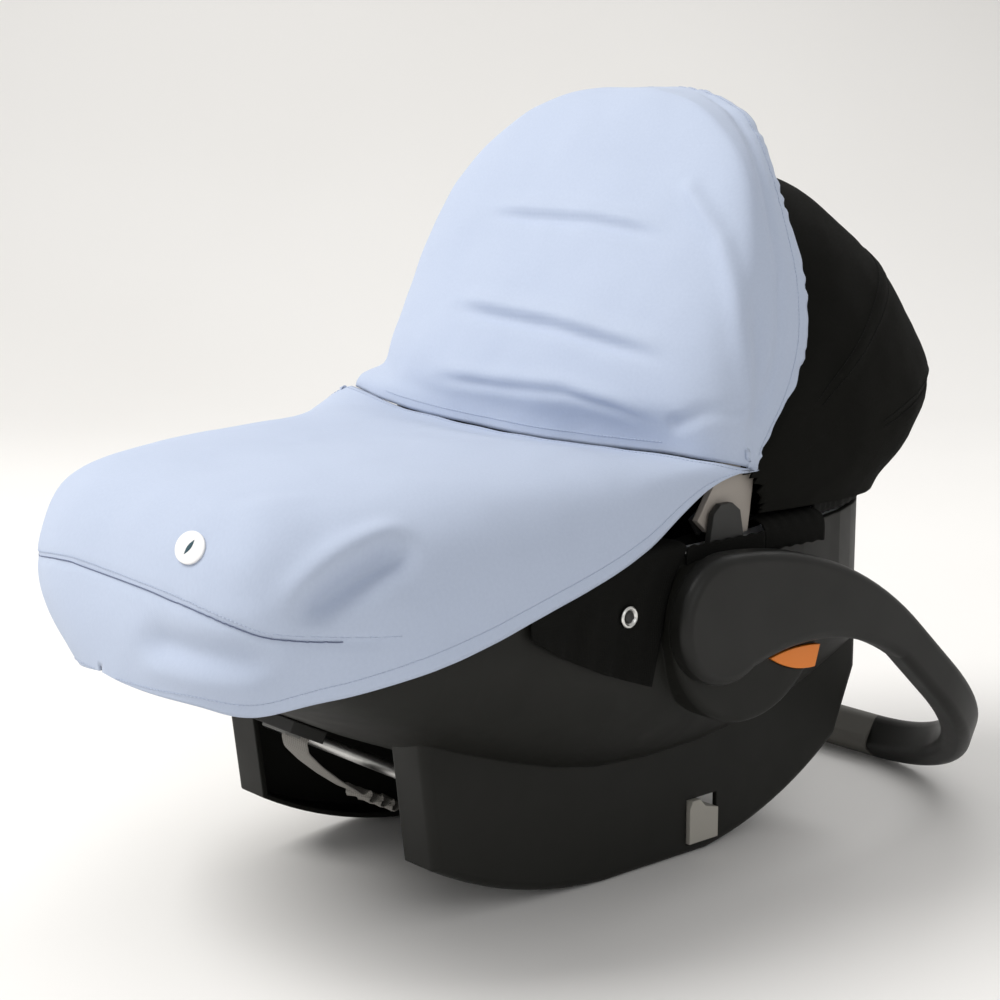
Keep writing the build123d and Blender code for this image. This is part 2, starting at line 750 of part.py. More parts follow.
def main():
    os.makedirs("parts", exist_ok=True)
    bow, grip = handle_parts()
    singles = {
        "carrier_shell": carrier_shell(),
        "foam_liner": foam_liner(),
        "seat_pad": seat_pad(),
        "handle_bow": bow,
        "handle_grip": grip,
        "canopy_fabric": canopy_fabric(),
        "canopy_bow_front": bow_strip(bow_lean, front_bow_half, 290, 2.7, bow_width, canopy_root),
        "canopy_bow_rear": rear_bow(),
        "canopy_rim_band": rim_band(),
        "cover_hood": hood(),
        "leg_cover": leg_cover(),
        "cover_badge": cover_badge(),
        "head_insert": head_insert(),
        "release_handle": release_handle(),
        "release_spring": release_spring(),
        "latch_bar_front": latch_bar(front_bar),
        "latch_bar_rear": latch_bar(rear_bar),
        "adjuster_strap": adjuster_strap(),
        "adjuster_housing": adjuster_housing(),
        "adjuster_button": adjuster_button(),
        "splitter_plate": splitter_plate(),
        "pad_snaps": pad_snaps(),
        "shell_screws": shell_screws(),
        "chest_clip": chest_clip(),
        "crotch_strap": crotch_strap(),
        "crotch_buckle": crotch_buckle(),
        "buckle_button": button_box(0, 4.0, 1.5),
    }
    for name, shape in singles.items():
        save(name, shape)
    pairs = {
        "canopy_bracket": canopy_bracket(),
        "canopy_mount": canopy_mount(),
        "harness_strap": harness_strap(),
        "shoulder_pad": shoulder_pad(),
        "lock_gear": lock_gear(),
        "lock_spring": lock_spring(),
        "pivot_pin": pivot_pin(),
        "handle_button": handle_button(),
        "latch_tab": latch_tab(),
        "buckle_tongue": buckle_tongue(),
    }
    for name, shape in pairs.items():
        save_pair(name, shape)


if __name__ == "__main__":
    main()
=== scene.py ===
import math
import bpy
import bmesh
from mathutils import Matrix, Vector, noise
from mathutils.bvhtree import BVHTree


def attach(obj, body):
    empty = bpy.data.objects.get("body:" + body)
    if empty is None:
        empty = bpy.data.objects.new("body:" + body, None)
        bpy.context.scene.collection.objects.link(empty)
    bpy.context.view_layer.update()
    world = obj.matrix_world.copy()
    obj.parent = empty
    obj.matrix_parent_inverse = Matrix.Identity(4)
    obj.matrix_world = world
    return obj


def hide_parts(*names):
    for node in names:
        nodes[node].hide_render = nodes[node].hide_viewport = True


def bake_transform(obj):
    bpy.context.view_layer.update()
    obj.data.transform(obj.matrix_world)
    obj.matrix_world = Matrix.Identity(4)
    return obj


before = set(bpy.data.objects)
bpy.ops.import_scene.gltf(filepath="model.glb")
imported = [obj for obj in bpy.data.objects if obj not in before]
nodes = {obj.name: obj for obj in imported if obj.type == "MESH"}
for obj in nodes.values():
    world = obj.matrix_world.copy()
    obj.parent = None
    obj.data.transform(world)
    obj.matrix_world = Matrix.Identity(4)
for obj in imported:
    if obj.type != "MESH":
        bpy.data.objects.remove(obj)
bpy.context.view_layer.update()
mm = 0.001
print("car seat: frame loaded")


# small maths shared by the pieces
def clamp(value, low=0.0, high=1.0):
    return max(low, min(high, value))


def ease(value):
    value = clamp(value)
    return value * value * (3 - 2 * value)


def mix(a, b, share):
    return a + (b - a) * share


def curveThrough(stops, x):
    # smooth curve through a short list of (place, value, ...) rows
    if x <= stops[0][0]:
        return stops[0][1:]
    if x >= stops[-1][0]:
        return stops[-1][1:]
    i = max(k for k in range(len(stops) - 1) if stops[k][0] <= x)
    a, b = stops[i], stops[i + 1]
    before, after = stops[max(i - 1, 0)], stops[min(i + 2, len(stops) - 1)]
    span = b[0] - a[0]
    t = (x - a[0]) / span
    out = []
    for k in range(1, len(a)):
        slopeA = (b[k] - before[k]) / (b[0] - before[0]) * span
        slopeB = (after[k] - a[k]) / (after[0] - a[0]) * span
        t2, t3 = t * t, t * t * t
        out.append((2 * t3 - 3 * t2 + 1) * a[k] + (t3 - 2 * t2 + t) * slopeA + (3 * t2 - 2 * t3) * b[k] + (t3 - t2) * slopeB)
    return out


def evenly(points, count):
    # the same line with its points at even spacing
    points = [Vector(p) for p in points]
    run = [0.0]
    for a, b in zip(points, points[1:]):
        run.append(run[-1] + (b - a).length)
    out, k = [], 0
    for i in range(count):
        want = run[-1] * i / (count - 1)
        while k < len(points) - 2 and run[k + 1] < want:
            k += 1
        gap = run[k + 1] - run[k]
        out.append(points[k].lerp(points[k + 1], clamp((want - run[k]) / gap) if gap else 0))
    return out


def nearLine(point, line):
    # distance to a line of points, and how far along it, 0 to 1
    best, where = 1e9, 0.0
    for i, (a, b) in enumerate(zip(line, line[1:])):
        step = b - a
        t = clamp((point - a).dot(step) / max(step.length_squared, 1e-9))
        gap = (point - a - step * t).length
        if gap < best:
            best, where = gap, (i + t) / (len(line) - 1)
    return best, where


# mesh helpers, sizes in millimetres
def asObject(name, mesh, material):
    piece = bpy.data.objects.new(name, mesh)
    bpy.context.scene.collection.objects.link(piece)
    mesh.materials.append(material)
    for face in mesh.polygons:
        face.use_smooth = True
    return piece


def clothGrid(name, rows, material, inside):
    # a sheet from rows of points, with a UV map in metres of cloth, facing away from a point inside
    points = [p * mm for row in rows for p in row]
    wide = len(rows[0])
    faces = [(i * wide + j, i * wide + j + 1, (i + 1) * wide + j + 1, (i + 1) * wide + j)
             for i in range(len(rows) - 1) for j in range(wide - 1)]
    mesh = bpy.data.meshes.new(name)
    mesh.from_pydata(points, [], faces)
    across = [[0.0] * wide for _ in rows]
    along = [[0.0] * wide for _ in rows]
    middle = wide // 2
    for i, row in enumerate(rows):
        for j in range(middle + 1, wide):
            across[i][j] = across[i][j - 1] + (row[j] - row[j - 1]).length * mm
        for j in range(middle - 1, -1, -1):
            across[i][j] = across[i][j + 1] - (row[j] - row[j + 1]).length * mm
        if i:
            for j in range(wide):
                along[i][j] = along[i - 1][j] + (row[j] - rows[i - 1][j]).length * mm
    layer = mesh.uv_layers.new(name="cloth")
    for loop in mesh.loops:
        i, j = divmod(loop.vertex_index, wide)
        layer.data[loop.index].uv = (across[i][j], along[i][j])
    work = bmesh.new()
    work.from_mesh(mesh)
    bmesh.ops.remove_doubles(work, verts=work.verts, dist=0.00002)
    bmesh.ops.recalc_face_normals(work, faces=work.faces)
    centre = Vector(inside) * mm
    if sum((f.calc_center_median() - centre).dot(f.normal) * f.calc_area() for f in work.faces) < 0:
        bmesh.ops.reverse_faces(work, faces=work.faces)
    work.to_mesh(mesh)
    work.free()
    return asObject(name, mesh, material)


def surfaceOf(piece):
    mesh = piece.data
    return BVHTree.FromPolygons([v.co.copy() for v in mesh.vertices], [tuple(p.vertices) for p in mesh.polygons])


def onSurface(tree, point, lift=0.0):
    # nearest place on a surface, in millimetres, lifted along its normal
    place, normal, _, _ = tree.find_nearest(Vector(point) * mm)
    return place / mm + normal * lift, normal


def pressIn(piece, shapes):
    # moves each vertex along its normal by the sum of the shapes' values there
    mesh = piece.data
    moves = []
    for v in mesh.vertices:
        p = v.co / mm
        moves.append((v.index, v.normal * sum(shape(p) for shape in shapes) * mm))
    for index, move in moves:
        mesh.vertices[index].co += move
    mesh.update()


def crease(line, width, depth, fade=0.25):
    # a soft fold or groove along a line, fading out at both ends
    line = [Vector(p) for p in line]
    low = [min(p[k] for p in line) - 3 * width for k in range(3)]
    high = [max(p[k] for p in line) + 3 * width for k in range(3)]

    def depthAt(p):
        if any(p[k] < low[k] or p[k] > high[k] for k in range(3)):
            return 0.0
        gap, where = nearLine(p, line)
        end = ease(min(where, 1 - where) / fade) if fade else 1.0
        return depth * end * math.exp(-(gap / width) ** 2)
    return depthAt


def ripples(size, scale, seed):
    offset = Vector((seed * 7.1, seed * 3.7, seed * 5.3))

    def heightAt(p):
        return size * noise.fractal(p / scale + offset, 1.0, 2.0, 3)
    return heightAt


def thicken(piece, thick, offset=-1.0):
    wall = piece.modifiers.new("wall", "SOLIDIFY")
    wall.thickness = thick * mm
    wall.offset = offset
    wall.use_quality_normals = True


def ribbon(name, path, width, thick, material, across=(1, 0, 0), step=2.5):
    # flat webbing along a path, closed all round, with a UV map in metres
    path = [Vector(p) for p in path]
    length = sum((b - a).length for a, b in zip(path, path[1:]))
    line = evenly(path, max(4, int(length / step)))
    side = Vector(across).normalized()
    profile = [(-0.5, -0.2), (-0.5, 0.2), (-0.47, 0.5), (-0.25, 0.5), (0, 0.5), (0.25, 0.5), (0.47, 0.5),
               (0.5, 0.2), (0.5, -0.2), (0.47, -0.5), (0.25, -0.5), (0, -0.5), (-0.25, -0.5), (-0.47, -0.5)]
    verts, faces, spots = [], [], []
    for i, p in enumerate(line):
        run = (line[min(i + 1, len(line) - 1)] - line[max(i - 1, 0)]).normalized()
        wide = (side - run * side.dot(run)).normalized()
        up = wide.cross(run)
        for a, b in profile:
            verts.append((p + wide * a * width + up * b * thick) * mm)
            spots.append((a * width * mm, i * length / (len(line) - 1) * mm))
    n = len(profile)
    for i in range(len(line) - 1):
        for k in range(n):
            faces.append((i * n + k, i * n + (k + 1) % n, (i + 1) * n + (k + 1) % n, (i + 1) * n + k))
    faces.append(tuple(range(n)))
    faces.append(tuple((len(line) - 1) * n + k for k in range(n)))
    mesh = bpy.data.meshes.new(name)
    mesh.from_pydata(verts, [], faces)
    layer = mesh.uv_layers.new(name="cloth")
    for loop in mesh.loops:
        layer.data[loop.index].uv = spots[loop.vertex_index]
    work = bmesh.new()
    work.from_mesh(mesh)
    bmesh.ops.recalc_face_normals(work, faces=work.faces)
    work.to_mesh(mesh)
    work.free()
    return asObject(name, mesh, material)


def cadCopy(name, node, material, keep=None):
    # a merged copy of a CAD node's mesh, with only the faces that keep() wants
    mesh = nodes[node].data.copy()
    mesh.name = name
    mesh.materials.clear()
    work = bmesh.new()
    work.from_mesh(mesh)
    bmesh.ops.remove_doubles(work, verts=work.verts, dist=0.00001)
    if keep:
        loose = [f for f in work.faces if not keep(f.calc_center_median() / mm)]
        bmesh.ops.delete(work, geom=loose, context="FACES")
        bmesh.ops.holes_fill(work, edges=[e for e in work.edges if e.is_boundary])
    work.to_mesh(mesh)
    work.free()
    return asObject(name, mesh, material)


def settle(piece):
    # applies every modifier that the piece has
    graph = bpy.context.evaluated_depsgraph_get()
    mesh = bpy.data.meshes.new_from_object(piece.evaluated_get(graph))
    piece.modifiers.clear()
    old = piece.data
    piece.data = mesh
    bpy.data.meshes.remove(old)
    for face in mesh.polygons:
        face.use_smooth = True


def plump(piece, voxel, cap, pressure=4.0):
    # remeshes a pad and lets cloth pressure swell it, no further than the cap
    net = piece.modifiers.new("net", "REMESH")
    net.mode = "VOXEL"
    net.voxel_size = voxel * mm
    settle(piece)
    start = [v.co.copy() for v in piece.data.vertices]
    cloth = piece.modifiers.new("cloth", "CLOTH")
    cloth.settings.use_pressure = True
    cloth.settings.uniform_pressure_force = pressure
    cloth.settings.effector_weights.gravity = 0
    cloth.collision_settings.use_collision = False
    cloth.point_cache.frame_start = 1
    cloth.point_cache.frame_end = 20
    for step in range(1, 21):
        bpy.context.scene.frame_set(step)
    graph = bpy.context.evaluated_depsgraph_get()
    swollen = [v.co.copy() for v in piece.evaluated_get(graph).data.vertices]
    piece.modifiers.clear()
    bpy.context.scene.frame_set(1)
    for v, a, b in zip(piece.data.vertices, start, swollen):
        move = b - a
        v.co = a + move * min(1.0, cap * mm / max(move.length, 1e-9))
    fine = piece.modifiers.new("fine", "SUBSURF")
    fine.levels = 1
    fine.render_levels = 1


# shader helpers
class Wire:
    def __init__(self, finish, socket):
        self.finish = finish
        self.socket = socket

    def sum(self, operation, *others):
        return self.finish.add("ShaderNodeMath", {"operation": operation}, [self, *others])

    def __add__(self, other):
        return self.sum("ADD", other)

    def __mul__(self, other):
        return self.sum("MULTIPLY", other)

    def __sub__(self, other):
        return self.sum("SUBTRACT", other)

    def __rsub__(self, other):
        return self.finish.add("ShaderNodeMath", {"operation": "SUBTRACT"}, [other, self])

    def __pow__(self, other):
        return self.sum("POWER", other)

    __radd__ = __add__
    __rmul__ = __mul__


class Finish:
    def __init__(self, name, **fixed):
        self.material = bpy.data.materials.new(name)
        self.material.use_nodes = True
        self.tree = self.material.node_tree
        self.shader = self.tree.nodes["Principled BSDF"]
        for socket, value in fixed.items():
            self.shader.inputs[socket.replace("_", " ")].default_value = value

    def add(self, kind, settings=None, inputs=None, output=0):
        node = self.tree.nodes.new(kind)
        for key, value in (settings or {}).items():
            if key == "stops":
                for stop, (place, colour) in zip(node.color_ramp.elements, value):
                    stop.position = place
                    stop.color = colour
            else:
                setattr(node, key, value)
        pairs = enumerate(inputs) if isinstance(inputs, list) else (inputs or {}).items()
        for key, value in pairs:
            if isinstance(value, Wire):
                self.tree.links.new(value.socket, node.inputs[key])
            else:
                node.inputs[key].default_value = value
        return Wire(self, node.outputs[output])

    def place(self, cloth=False):
        return self.add("ShaderNodeTexCoord", output=2 if cloth else 3)

    def axes(self, place):
        wire = self.add("ShaderNodeSeparateXYZ", inputs=[place])
        return [Wire(self, wire.socket.node.outputs[k]) for k in range(3)]

    def cloud(self, place, scale, detail=3.0):
        return self.add("ShaderNodeTexNoise", {"noise_dimensions": "3D"}, {"Vector": place, "Scale": scale,
                                                                           "Detail": detail})

    def colours(self, share, a, b):
        return self.add("ShaderNodeMix", {"data_type": "RGBA"}, {0: share, 6: a, 7: b}, output=2)

    def range(self, wire, low, high, a=0.0, b=1.0):
        return self.add("ShaderNodeMapRange", None, {"Value": wire, "From Min": low, "From Max": high,
                                                     "To Min": a, "To Max": b})

    def feed(self, socket, wire):
        self.tree.links.new(wire.socket, self.shader.inputs[socket])

    def bump(self, height, strength, distance, normal=None):
        inputs = {"Height": height, "Strength": strength, "Distance": distance}
        if normal:
            inputs["Normal"] = normal
        wire = self.add("ShaderNodeBump", None, inputs)
        self.feed("Normal", wire)
        return wire


def wovenCloth(name, colour, shade, pitch, cloth=True, sheen=0.1, rough=0.85, relief=0.35, mottle=0.5, specular=0.2):
    # plain weave: warp and weft threads, with slightly uneven dye
    finish = Finish(name, Sheen_Weight=sheen, Sheen_Roughness=0.5, Specular_IOR_Level=specular)
    place = finish.place(cloth)
    x, y, z = finish.axes(place)
    if not cloth:
        x, y = x + z * 0.9, y + z * 0.8
    turn = 2 * math.pi / (pitch * mm)
    warp = (x * turn).sum("SINE")
    weft = (y * turn).sum("SINE")
    threads = finish.range(warp * weft, -1.0, 1.0)
    dye = finish.cloud(place, 9.0, 4.0)
    slub = finish.cloud(place, 420.0, 2.0)
    tone = finish.range(dye, 0.3, 0.7) * mottle + threads * 0.3 + finish.range(slub, 0.3, 0.7) * 0.35
    finish.feed("Base Color", finish.colours(tone, (*shade, 1), (*colour, 1)))
    finish.feed("Roughness", finish.range(slub, 0.2, 0.8, rough - 0.08, min(rough + 0.1, 1.0)))
    finish.bump(threads + slub * 0.6, relief, 0.00025)
    return finish.material


def knitCloth(name, colour, shade, pitch, relief=0.6):
    # black jersey over foam: rows of loops with a little lint
    finish = Finish(name, Specular_IOR_Level=0.12)
    place = finish.place()
    x, y, z = finish.axes(place)
    turn = 2 * math.pi / (pitch * mm)
    wales = ((x + z * 0.7) * turn).sum("SINE")
    courses = ((y + z * 0.9) * turn * 0.8).sum("SINE")
    loops = finish.range(wales * courses + wales * 0.4, -1.4, 1.4)
    lint = finish.cloud(place, 900.0, 2.0)
    broad = finish.cloud(place, 14.0, 3.0)
    tone = loops * 0.45 + finish.range(lint, 0.45, 0.75) * 0.35 + finish.range(broad, 0.3, 0.7) * 0.3
    finish.feed("Base Color", finish.colours(tone, (*shade, 1), (*colour, 1)))
    finish.feed("Roughness", finish.range(lint, 0.2, 0.8, 0.82, 0.98))
    finish.bump(loops + lint * 0.5, relief, 0.0003)
    return finish.material


def webbing(name, colour, shade):
    # narrow herringbone webbing with a denser edge
    finish = Finish(name, Specular_IOR_Level=0.35)
    place = finish.place(True)
    x, y, _ = finish.axes(place)
    rib = ((x * 2600.0 + (y * 5200.0).sum("SINE") * 0.9)).sum("SINE")
    pick = (y * 5200.0).sum("SINE")
    threads = finish.range(rib * 0.6 + pick * 0.4, -1.0, 1.0)
    fuzz = finish.cloud(place, 700.0, 2.0)
    finish.feed("Base Color", finish.colours(threads * 0.7 + fuzz * 0.3, (*shade, 1), (*colour, 1)))
    finish.feed("Roughness", finish.range(fuzz, 0.2, 0.8, 0.55, 0.8))
    finish.bump(threads + fuzz * 0.3, 0.6, 0.0004)
    return finish.material


def mouldedPlastic(name, colour, shade, rough, grain=2600.0, relief=0.12, edge=1.2, specular=0.5):
    # spark-eroded mould grain, rounded edges, light handling wear
    finish = Finish(name, Specular_IOR_Level=specular)
    place = finish.place()
    skin = finish.cloud(place, grain, 2.0)
    rub = finish.cloud(place, 22.0, 5.0)
    smear = finish.cloud(place, 6.0, 2.0)
    finish.feed("Base Color", finish.colours(finish.range(smear, 0.3, 0.7) * 0.6 + skin * 0.3, (*shade, 1), (*colour, 1)))
    finish.feed("Roughness", finish.range(rub, 0.3, 0.75, rough - 0.05, rough + 0.08) + skin * 0.05)
    corner = finish.add("ShaderNodeBevel", {"samples": 4}, {"Radius": edge * mm})
    finish.bump(skin, relief, 0.00015, corner)
    return finish.material


def drawnMetal(name, colour, shade, rough):
    finish = Finish(name, Metallic=1.0)
    place = finish.place()
    lines = finish.cloud(finish.add("ShaderNodeMapping", None, {"Vector": place, "Scale": (60.0, 1500.0, 1500.0)}), 1.0, 2.0)
    spots = finish.cloud(place, 160.0, 4.0)
    finish.feed("Base Color", finish.colours(spots, (*shade, 1), (*colour, 1)))
    finish.feed("Roughness", finish.range(lines, 0.2, 0.8, rough - 0.06, rough + 0.1))
    finish.bump(lines, 0.15, 0.0001)
    return finish.material


materials = {
    "coverCloth": wovenCloth("paleBlueCotton", (0.50, 0.565, 0.70), (0.44, 0.505, 0.64), 0.55, mottle=0.25),
    # the toe seam's dark thread colour is partly painted shade: it darkens the seam line to stand in for the shadow in
    # the seam's groove
    "coverSeamThreadAndShade": wovenCloth("seamThreadAndShade", (0.17, 0.20, 0.30), (0.08, 0.10, 0.17), 0.6, relief=0.5),
    "zipTape": wovenCloth("zipTape", (0.10, 0.12, 0.19), (0.04, 0.05, 0.09), 0.6, relief=0.5),
    "canopyCloth": wovenCloth("blackCanopyCloth", (0.0065, 0.0065, 0.005), (0.0025, 0.0025, 0.002), 0.7,
                             sheen=0.0, rough=0.9, specular=0.1),
    "rimCloth": wovenCloth("blackRimElastic", (0.011, 0.011, 0.010), (0.004, 0.004, 0.004), 1.4,
                          sheen=0.0, relief=0.6, specular=0.15),
    "padCloth": knitCloth("blackPadJersey", (0.007, 0.007, 0.006), (0.0025, 0.0025, 0.002), 1.1),
    "strapWeb": webbing("greyHarnessWeb", (0.30, 0.285, 0.26), (0.12, 0.115, 0.105)),
    "shell": mouldedPlastic("charcoalShell", (0.0105, 0.0105, 0.0085), (0.007, 0.007, 0.0055), 0.5, edge=2.2, specular=0.22),
    "handle": mouldedPlastic("charcoalHandle", (0.0095, 0.0095, 0.008), (0.006, 0.006, 0.005), 0.42, edge=2.2, specular=0.3),
    "grip": mouldedPlastic("greyGripRubber", (0.135, 0.13, 0.115), (0.10, 0.096, 0.085), 0.62, grain=1300.0, relief=0.35),
    "bracket": mouldedPlastic("warmGreyBracket", (0.42, 0.38, 0.34), (0.34, 0.305, 0.27), 0.5),
    "bow": mouldedPlastic("darkBow", (0.05, 0.05, 0.048), (0.03, 0.03, 0.03), 0.5),
    "dark": mouldedPlastic("darkMoulding", (0.028, 0.028, 0.026), (0.016, 0.016, 0.015), 0.5),
    "orange": mouldedPlastic("orangeButton", (0.86, 0.25, 0.012), (0.74, 0.19, 0.01), 0.42),
    "greyButton": mouldedPlastic("greyButton", (0.25, 0.25, 0.24), (0.18, 0.18, 0.17), 0.45),
    "redButton": mouldedPlastic("redButton", (0.62, 0.03, 0.02), (0.5, 0.02, 0.015), 0.35),
    "latch": mouldedPlastic("greyLatch", (0.42, 0.40, 0.36), (0.32, 0.305, 0.27), 0.5),
    "foam": mouldedPlastic("whiteBeadFoam", (0.78, 0.78, 0.76), (0.66, 0.66, 0.65), 0.75, grain=260.0, relief=0.7),
    "steel": drawnMetal("platedSteel", (0.62, 0.61, 0.59), (0.42, 0.42, 0.41), 0.3),
    "springSteel": drawnMetal("springSteel", (0.42, 0.41, 0.4), (0.25, 0.25, 0.25), 0.35),
    "snapSilver": drawnMetal("snapSilver", (0.78, 0.78, 0.76), (0.6, 0.6, 0.58), 0.2),
    "label": wovenCloth("whiteLabel", (0.82, 0.82, 0.82), (0.72, 0.72, 0.73), 0.5, relief=0.5),
    "labelInk": wovenCloth("labelStitch", (0.05, 0.10, 0.12), (0.02, 0.05, 0.07), 0.5, relief=0.5),
}

# the CAD pieces that stay, and their finishes
cadFinish = {
    "shell": ["carrier_shell"],
    "handle": ["handle_bow"],
    "grip": ["handle_grip"],
    "bracket": ["canopy_bracket_left", "canopy_bracket_right"],
    "bow": ["canopy_bow_front", "canopy_bow_rear"],
    "dark": ["canopy_mount_left", "canopy_mount_right", "adjuster_housing", "splitter_plate", "chest_clip",
             "crotch_buckle", "release_handle"],
    "orange": ["handle_button_left", "handle_button_right"],
    "greyButton": ["adjuster_button"],
    "redButton": ["buckle_button"],
    "latch": ["latch_tab_left", "latch_tab_right"],
    "foam": ["foam_liner"],
    "steel": ["lock_gear_left", "lock_gear_right", "pivot_pin_left", "pivot_pin_right", "buckle_tongue_left",
              "buckle_tongue_right", "latch_bar_front", "latch_bar_rear", "shell_screws"],
    "springSteel": ["lock_spring_left", "lock_spring_right", "release_spring"],
}
for finishName, names in cadFinish.items():
    for nodeName in names:
        piece = nodes[nodeName]
        for place in piece.material_slots:
            place.material = materials[finishName]
print("car seat: finishes on the moulded pieces")

# leg cover
cover = {
    "columns": 150,
    "rows": 118,
    "power": 4.0,         # squareness of the arched sections
    "wall": 2.0,
    "fold": 14.0,         # depth of the fold at the near front corner
    "ripple": 1.6,
    "tuck": 0.6,          # how far the toe end draws in under itself on the left
    "nearTuck": 0.12,
    "lean": 0.10,         # how much narrower the toe is on the left
}
coverStations = [
    # y, half width, hem height, crown height
    (-366.6, 3, 193, 197), (-366.2, 34, 191, 219), (-364.4, 66, 189, 233), (-360.5, 97, 187, 247), (-354, 121, 184, 265),
    (-345, 139, 181, 283), (-333, 152, 181, 297), (-317, 162, 187, 307), (-298, 170, 194, 313), (-270, 180, 203, 317),
    (-215, 188.5, 216, 321), (-150, 191, 233, 322), (-90, 191.5, 251, 322), (-30, 191.5, 276, 322), (44, 191, 302, 319),
]
# where the zip line between cover and hood runs: x, y, z
zipStops = [(-192, -20, 326), (-130, -27, 319), (-75, -26, 315), (17, -25, 312), (82, -15, 311), (140, -6, 312),
            (168, 0, 311), (183, 15, 308), (190, 36, 303), (192, 48, 301)]


def zipAt(x):
    y, z = curveThrough(zipStops, x)
    return y, z


shellSkin = surfaceOf(nodes["carrier_shell"])


def clearOfShell(x, y, z, gap=3.0):
    # keeps the drawn-in toe end outside the shell's nose
    side = 1 if x >= 0 else -1
    hit = shellSkin.ray_cast(Vector((side * 400, y, z)) * mm, Vector((-side, 0, 0)), 0.4)
    if hit[0] is not None:
        return side * max(abs(x), abs(hit[0].x) / mm + gap)
    return x


def tucked(x, y, z, hem):
    # the toe end draws in under itself, most of all on the left
    share = clamp((256 - z) / max(256 - hem, 1))
    if x < 0:
        share **= 2.2
        x *= (1 - cover["lean"] * ease((-y - 308) / 38)) * (1 - cover["tuck"] * ease((-y - 278) / 86) * share)
        z += 4 * ease((-y - 320) / 30) * share * clamp(-x / 60)
    else:
        share **= 1.4
        x *= 1 - cover["nearTuck"] * ease((-y - 240) / 110) * share
        z += 5 * ease((-y - 285) / 30) * share * clamp((x - 40) / 60)
    if y < -235 and z < 256 and abs(x) > 40:
        x = clearOfShell(x, y, z)
    return x, z, 0


def coverPoints():
    low, high = coverStations[0][0], coverStations[-1][0]
    path = [(y, *curveThrough(coverStations, y)) for y in [low + (high - low) * (i / 900) ** 1.6 for i in range(901)]]
    travel = evenly([(row[0], row[1] * 0.55, row[3]) for row in path], cover["rows"])
    rows = []
    for stop in travel:
        y = stop.x
        half, hem, crown = curveThrough(coverStations, y)
        arch = []
        for i in range(241):
            angle = math.pi * (1 - i / 240)
            c, s = math.cos(angle), max(math.sin(angle), 0.0)
            arch.append((math.copysign(half * abs(c) ** (2 / cover["power"]), c),
                         hem + (crown - hem) * s ** (2 / cover["power"]), 0))
        row = []
        arch = [tucked(x, y, z, hem) for x, z, _ in arch]
        for point in evenly(arch, cover["columns"]):
            x, z = point.x, point.y
            edgeY, edgeZ = zipAt(x)
            share = max(0.0, (y + 130) / (high + 130))
            newY = mix(y, -130 + share * (edgeY - 1.2 + 130), ease(share * 3))
            pull = ease((share - 0.35) / 0.65)
            row.append(Vector((x, newY, mix(z, edgeZ, pull))))
        rows.append(row)
    # the tucked part is eased lengthwise, so that it has no ledge where it leaves the shell
    for _ in range(14):
        for column in range(cover["columns"]):
            line = [row[column].copy() for row in rows]
            for k in range(1, len(rows) - 1):
                p = line[k]
                soft = 0.5 * ease((-p.y - 240) / 20) * ease((254 - p.z) / 12)
                if soft > 0:
                    rows[k][column] = p.lerp((line[k - 1] + line[k + 1]) / 2, soft)
    return rows


coverRows = coverPoints()
coverPiece = clothGrid("legCoverCloth", coverRows, materials["coverCloth"], (0, -180, 150))
tree = surfaceOf(coverPiece)


def laid(points, surface, lift=0.0, count=0):
    line = evenly(points, count) if count else [Vector(p) for p in points]
    return [onSurface(surface, p, lift)[0] for p in line]


toeSeam = laid([(-150, -300, 240), (-112, -345, 247), (-49, -357, 255), (13, -358, 254), (51, -358, 253),
                (90, -356, 250), (114, -352, 246), (131, -346, 242), (142, -338, 238), (150, -330, 237),
                (159, -314, 235), (169, -293, 233), (180, -264, 231)], tree, 0.0, 90)
valley = laid([(154, -324, 242), (159, -315, 254), (163, -303, 263), (166, -291, 270), (169, -271, 280),
               (171, -243, 289)], tree, 0.0, 24)
ridge = laid([(150, -330, 246), (154, -319, 262), (157, -303, 276), (159, -289, 284), (162, -274, 289),
              (164, -238, 297)], tree, 0.0, 24)
noseRidge = laid([(120, -352, 262), (128, -335, 290), (112, -312, 309), (80, -292, 313)], tree, 0.0, 20)
toeFold = laid([(40, -366, 224), (59, -364, 224), (104, -357, 223), (136, -343, 223), (152, -325, 228)], tree, 0.0, 24)
sideSlack = laid([(186, -60, 285), (178, -130, 282), (165, -190, 290), (140, -235, 315)], tree, 0.0, 20)
topSag = laid([(-120, -60, 322), (-60, -150, 322), (0, -200, 322), (70, -230, 320)], tree, 0.0, 20)
pressIn(coverPiece, [
    crease(valley, 11, -cover["fold"]), crease(ridge, 11, 7.5), crease(noseRidge, 22, 3.0),
    crease(toeFold, 11, -6.0), crease([p + Vector((0, 0, -14)) for p in toeFold], 10, 3.0),
    crease(sideSlack, 22, -1.5), crease(topSag, 70, -5.0, 0.5),
    crease(toeSeam, 2.6, -1.6, 0.04), ripples(cover["ripple"], 85, 3),
])
thicken(coverPiece, cover["wall"])
print("car seat: leg cover")

# hood
hood = {
    "columns": 168,
    "rows": 126,
    "round": 2.3,        # roundness of the level sections
    "wall": 2.0,
    "pucker": 0.9,       # size of the gathers along the rear edge
}
hoodStations = [
    # z, half width, front at the middle, front at the sides, half width at the rear edge, rear edge
    (300, 189, -28, 30, 184, 50), (318, 189, -28, 26, 183, 62), (350, 186, -29, 26, 180, 88), (390, 182, -12, 36, 175, 104),
    (434, 176, 12, 50, 168, 105), (470, 164, 32, 61, 155, 104), (500, 147, 49, 71, 138, 108), (524, 124, 63, 78, 116, 118),
    (541, 97, 75, 83, 91, 127), (551, 72, 83, 88, 68, 133), (556.5, 46, 89, 92, 43, 137), (558.8, 20, 93, 95, 18, 139),
    (559.2, 0.12, 96, 97, 0.1, 141),
]


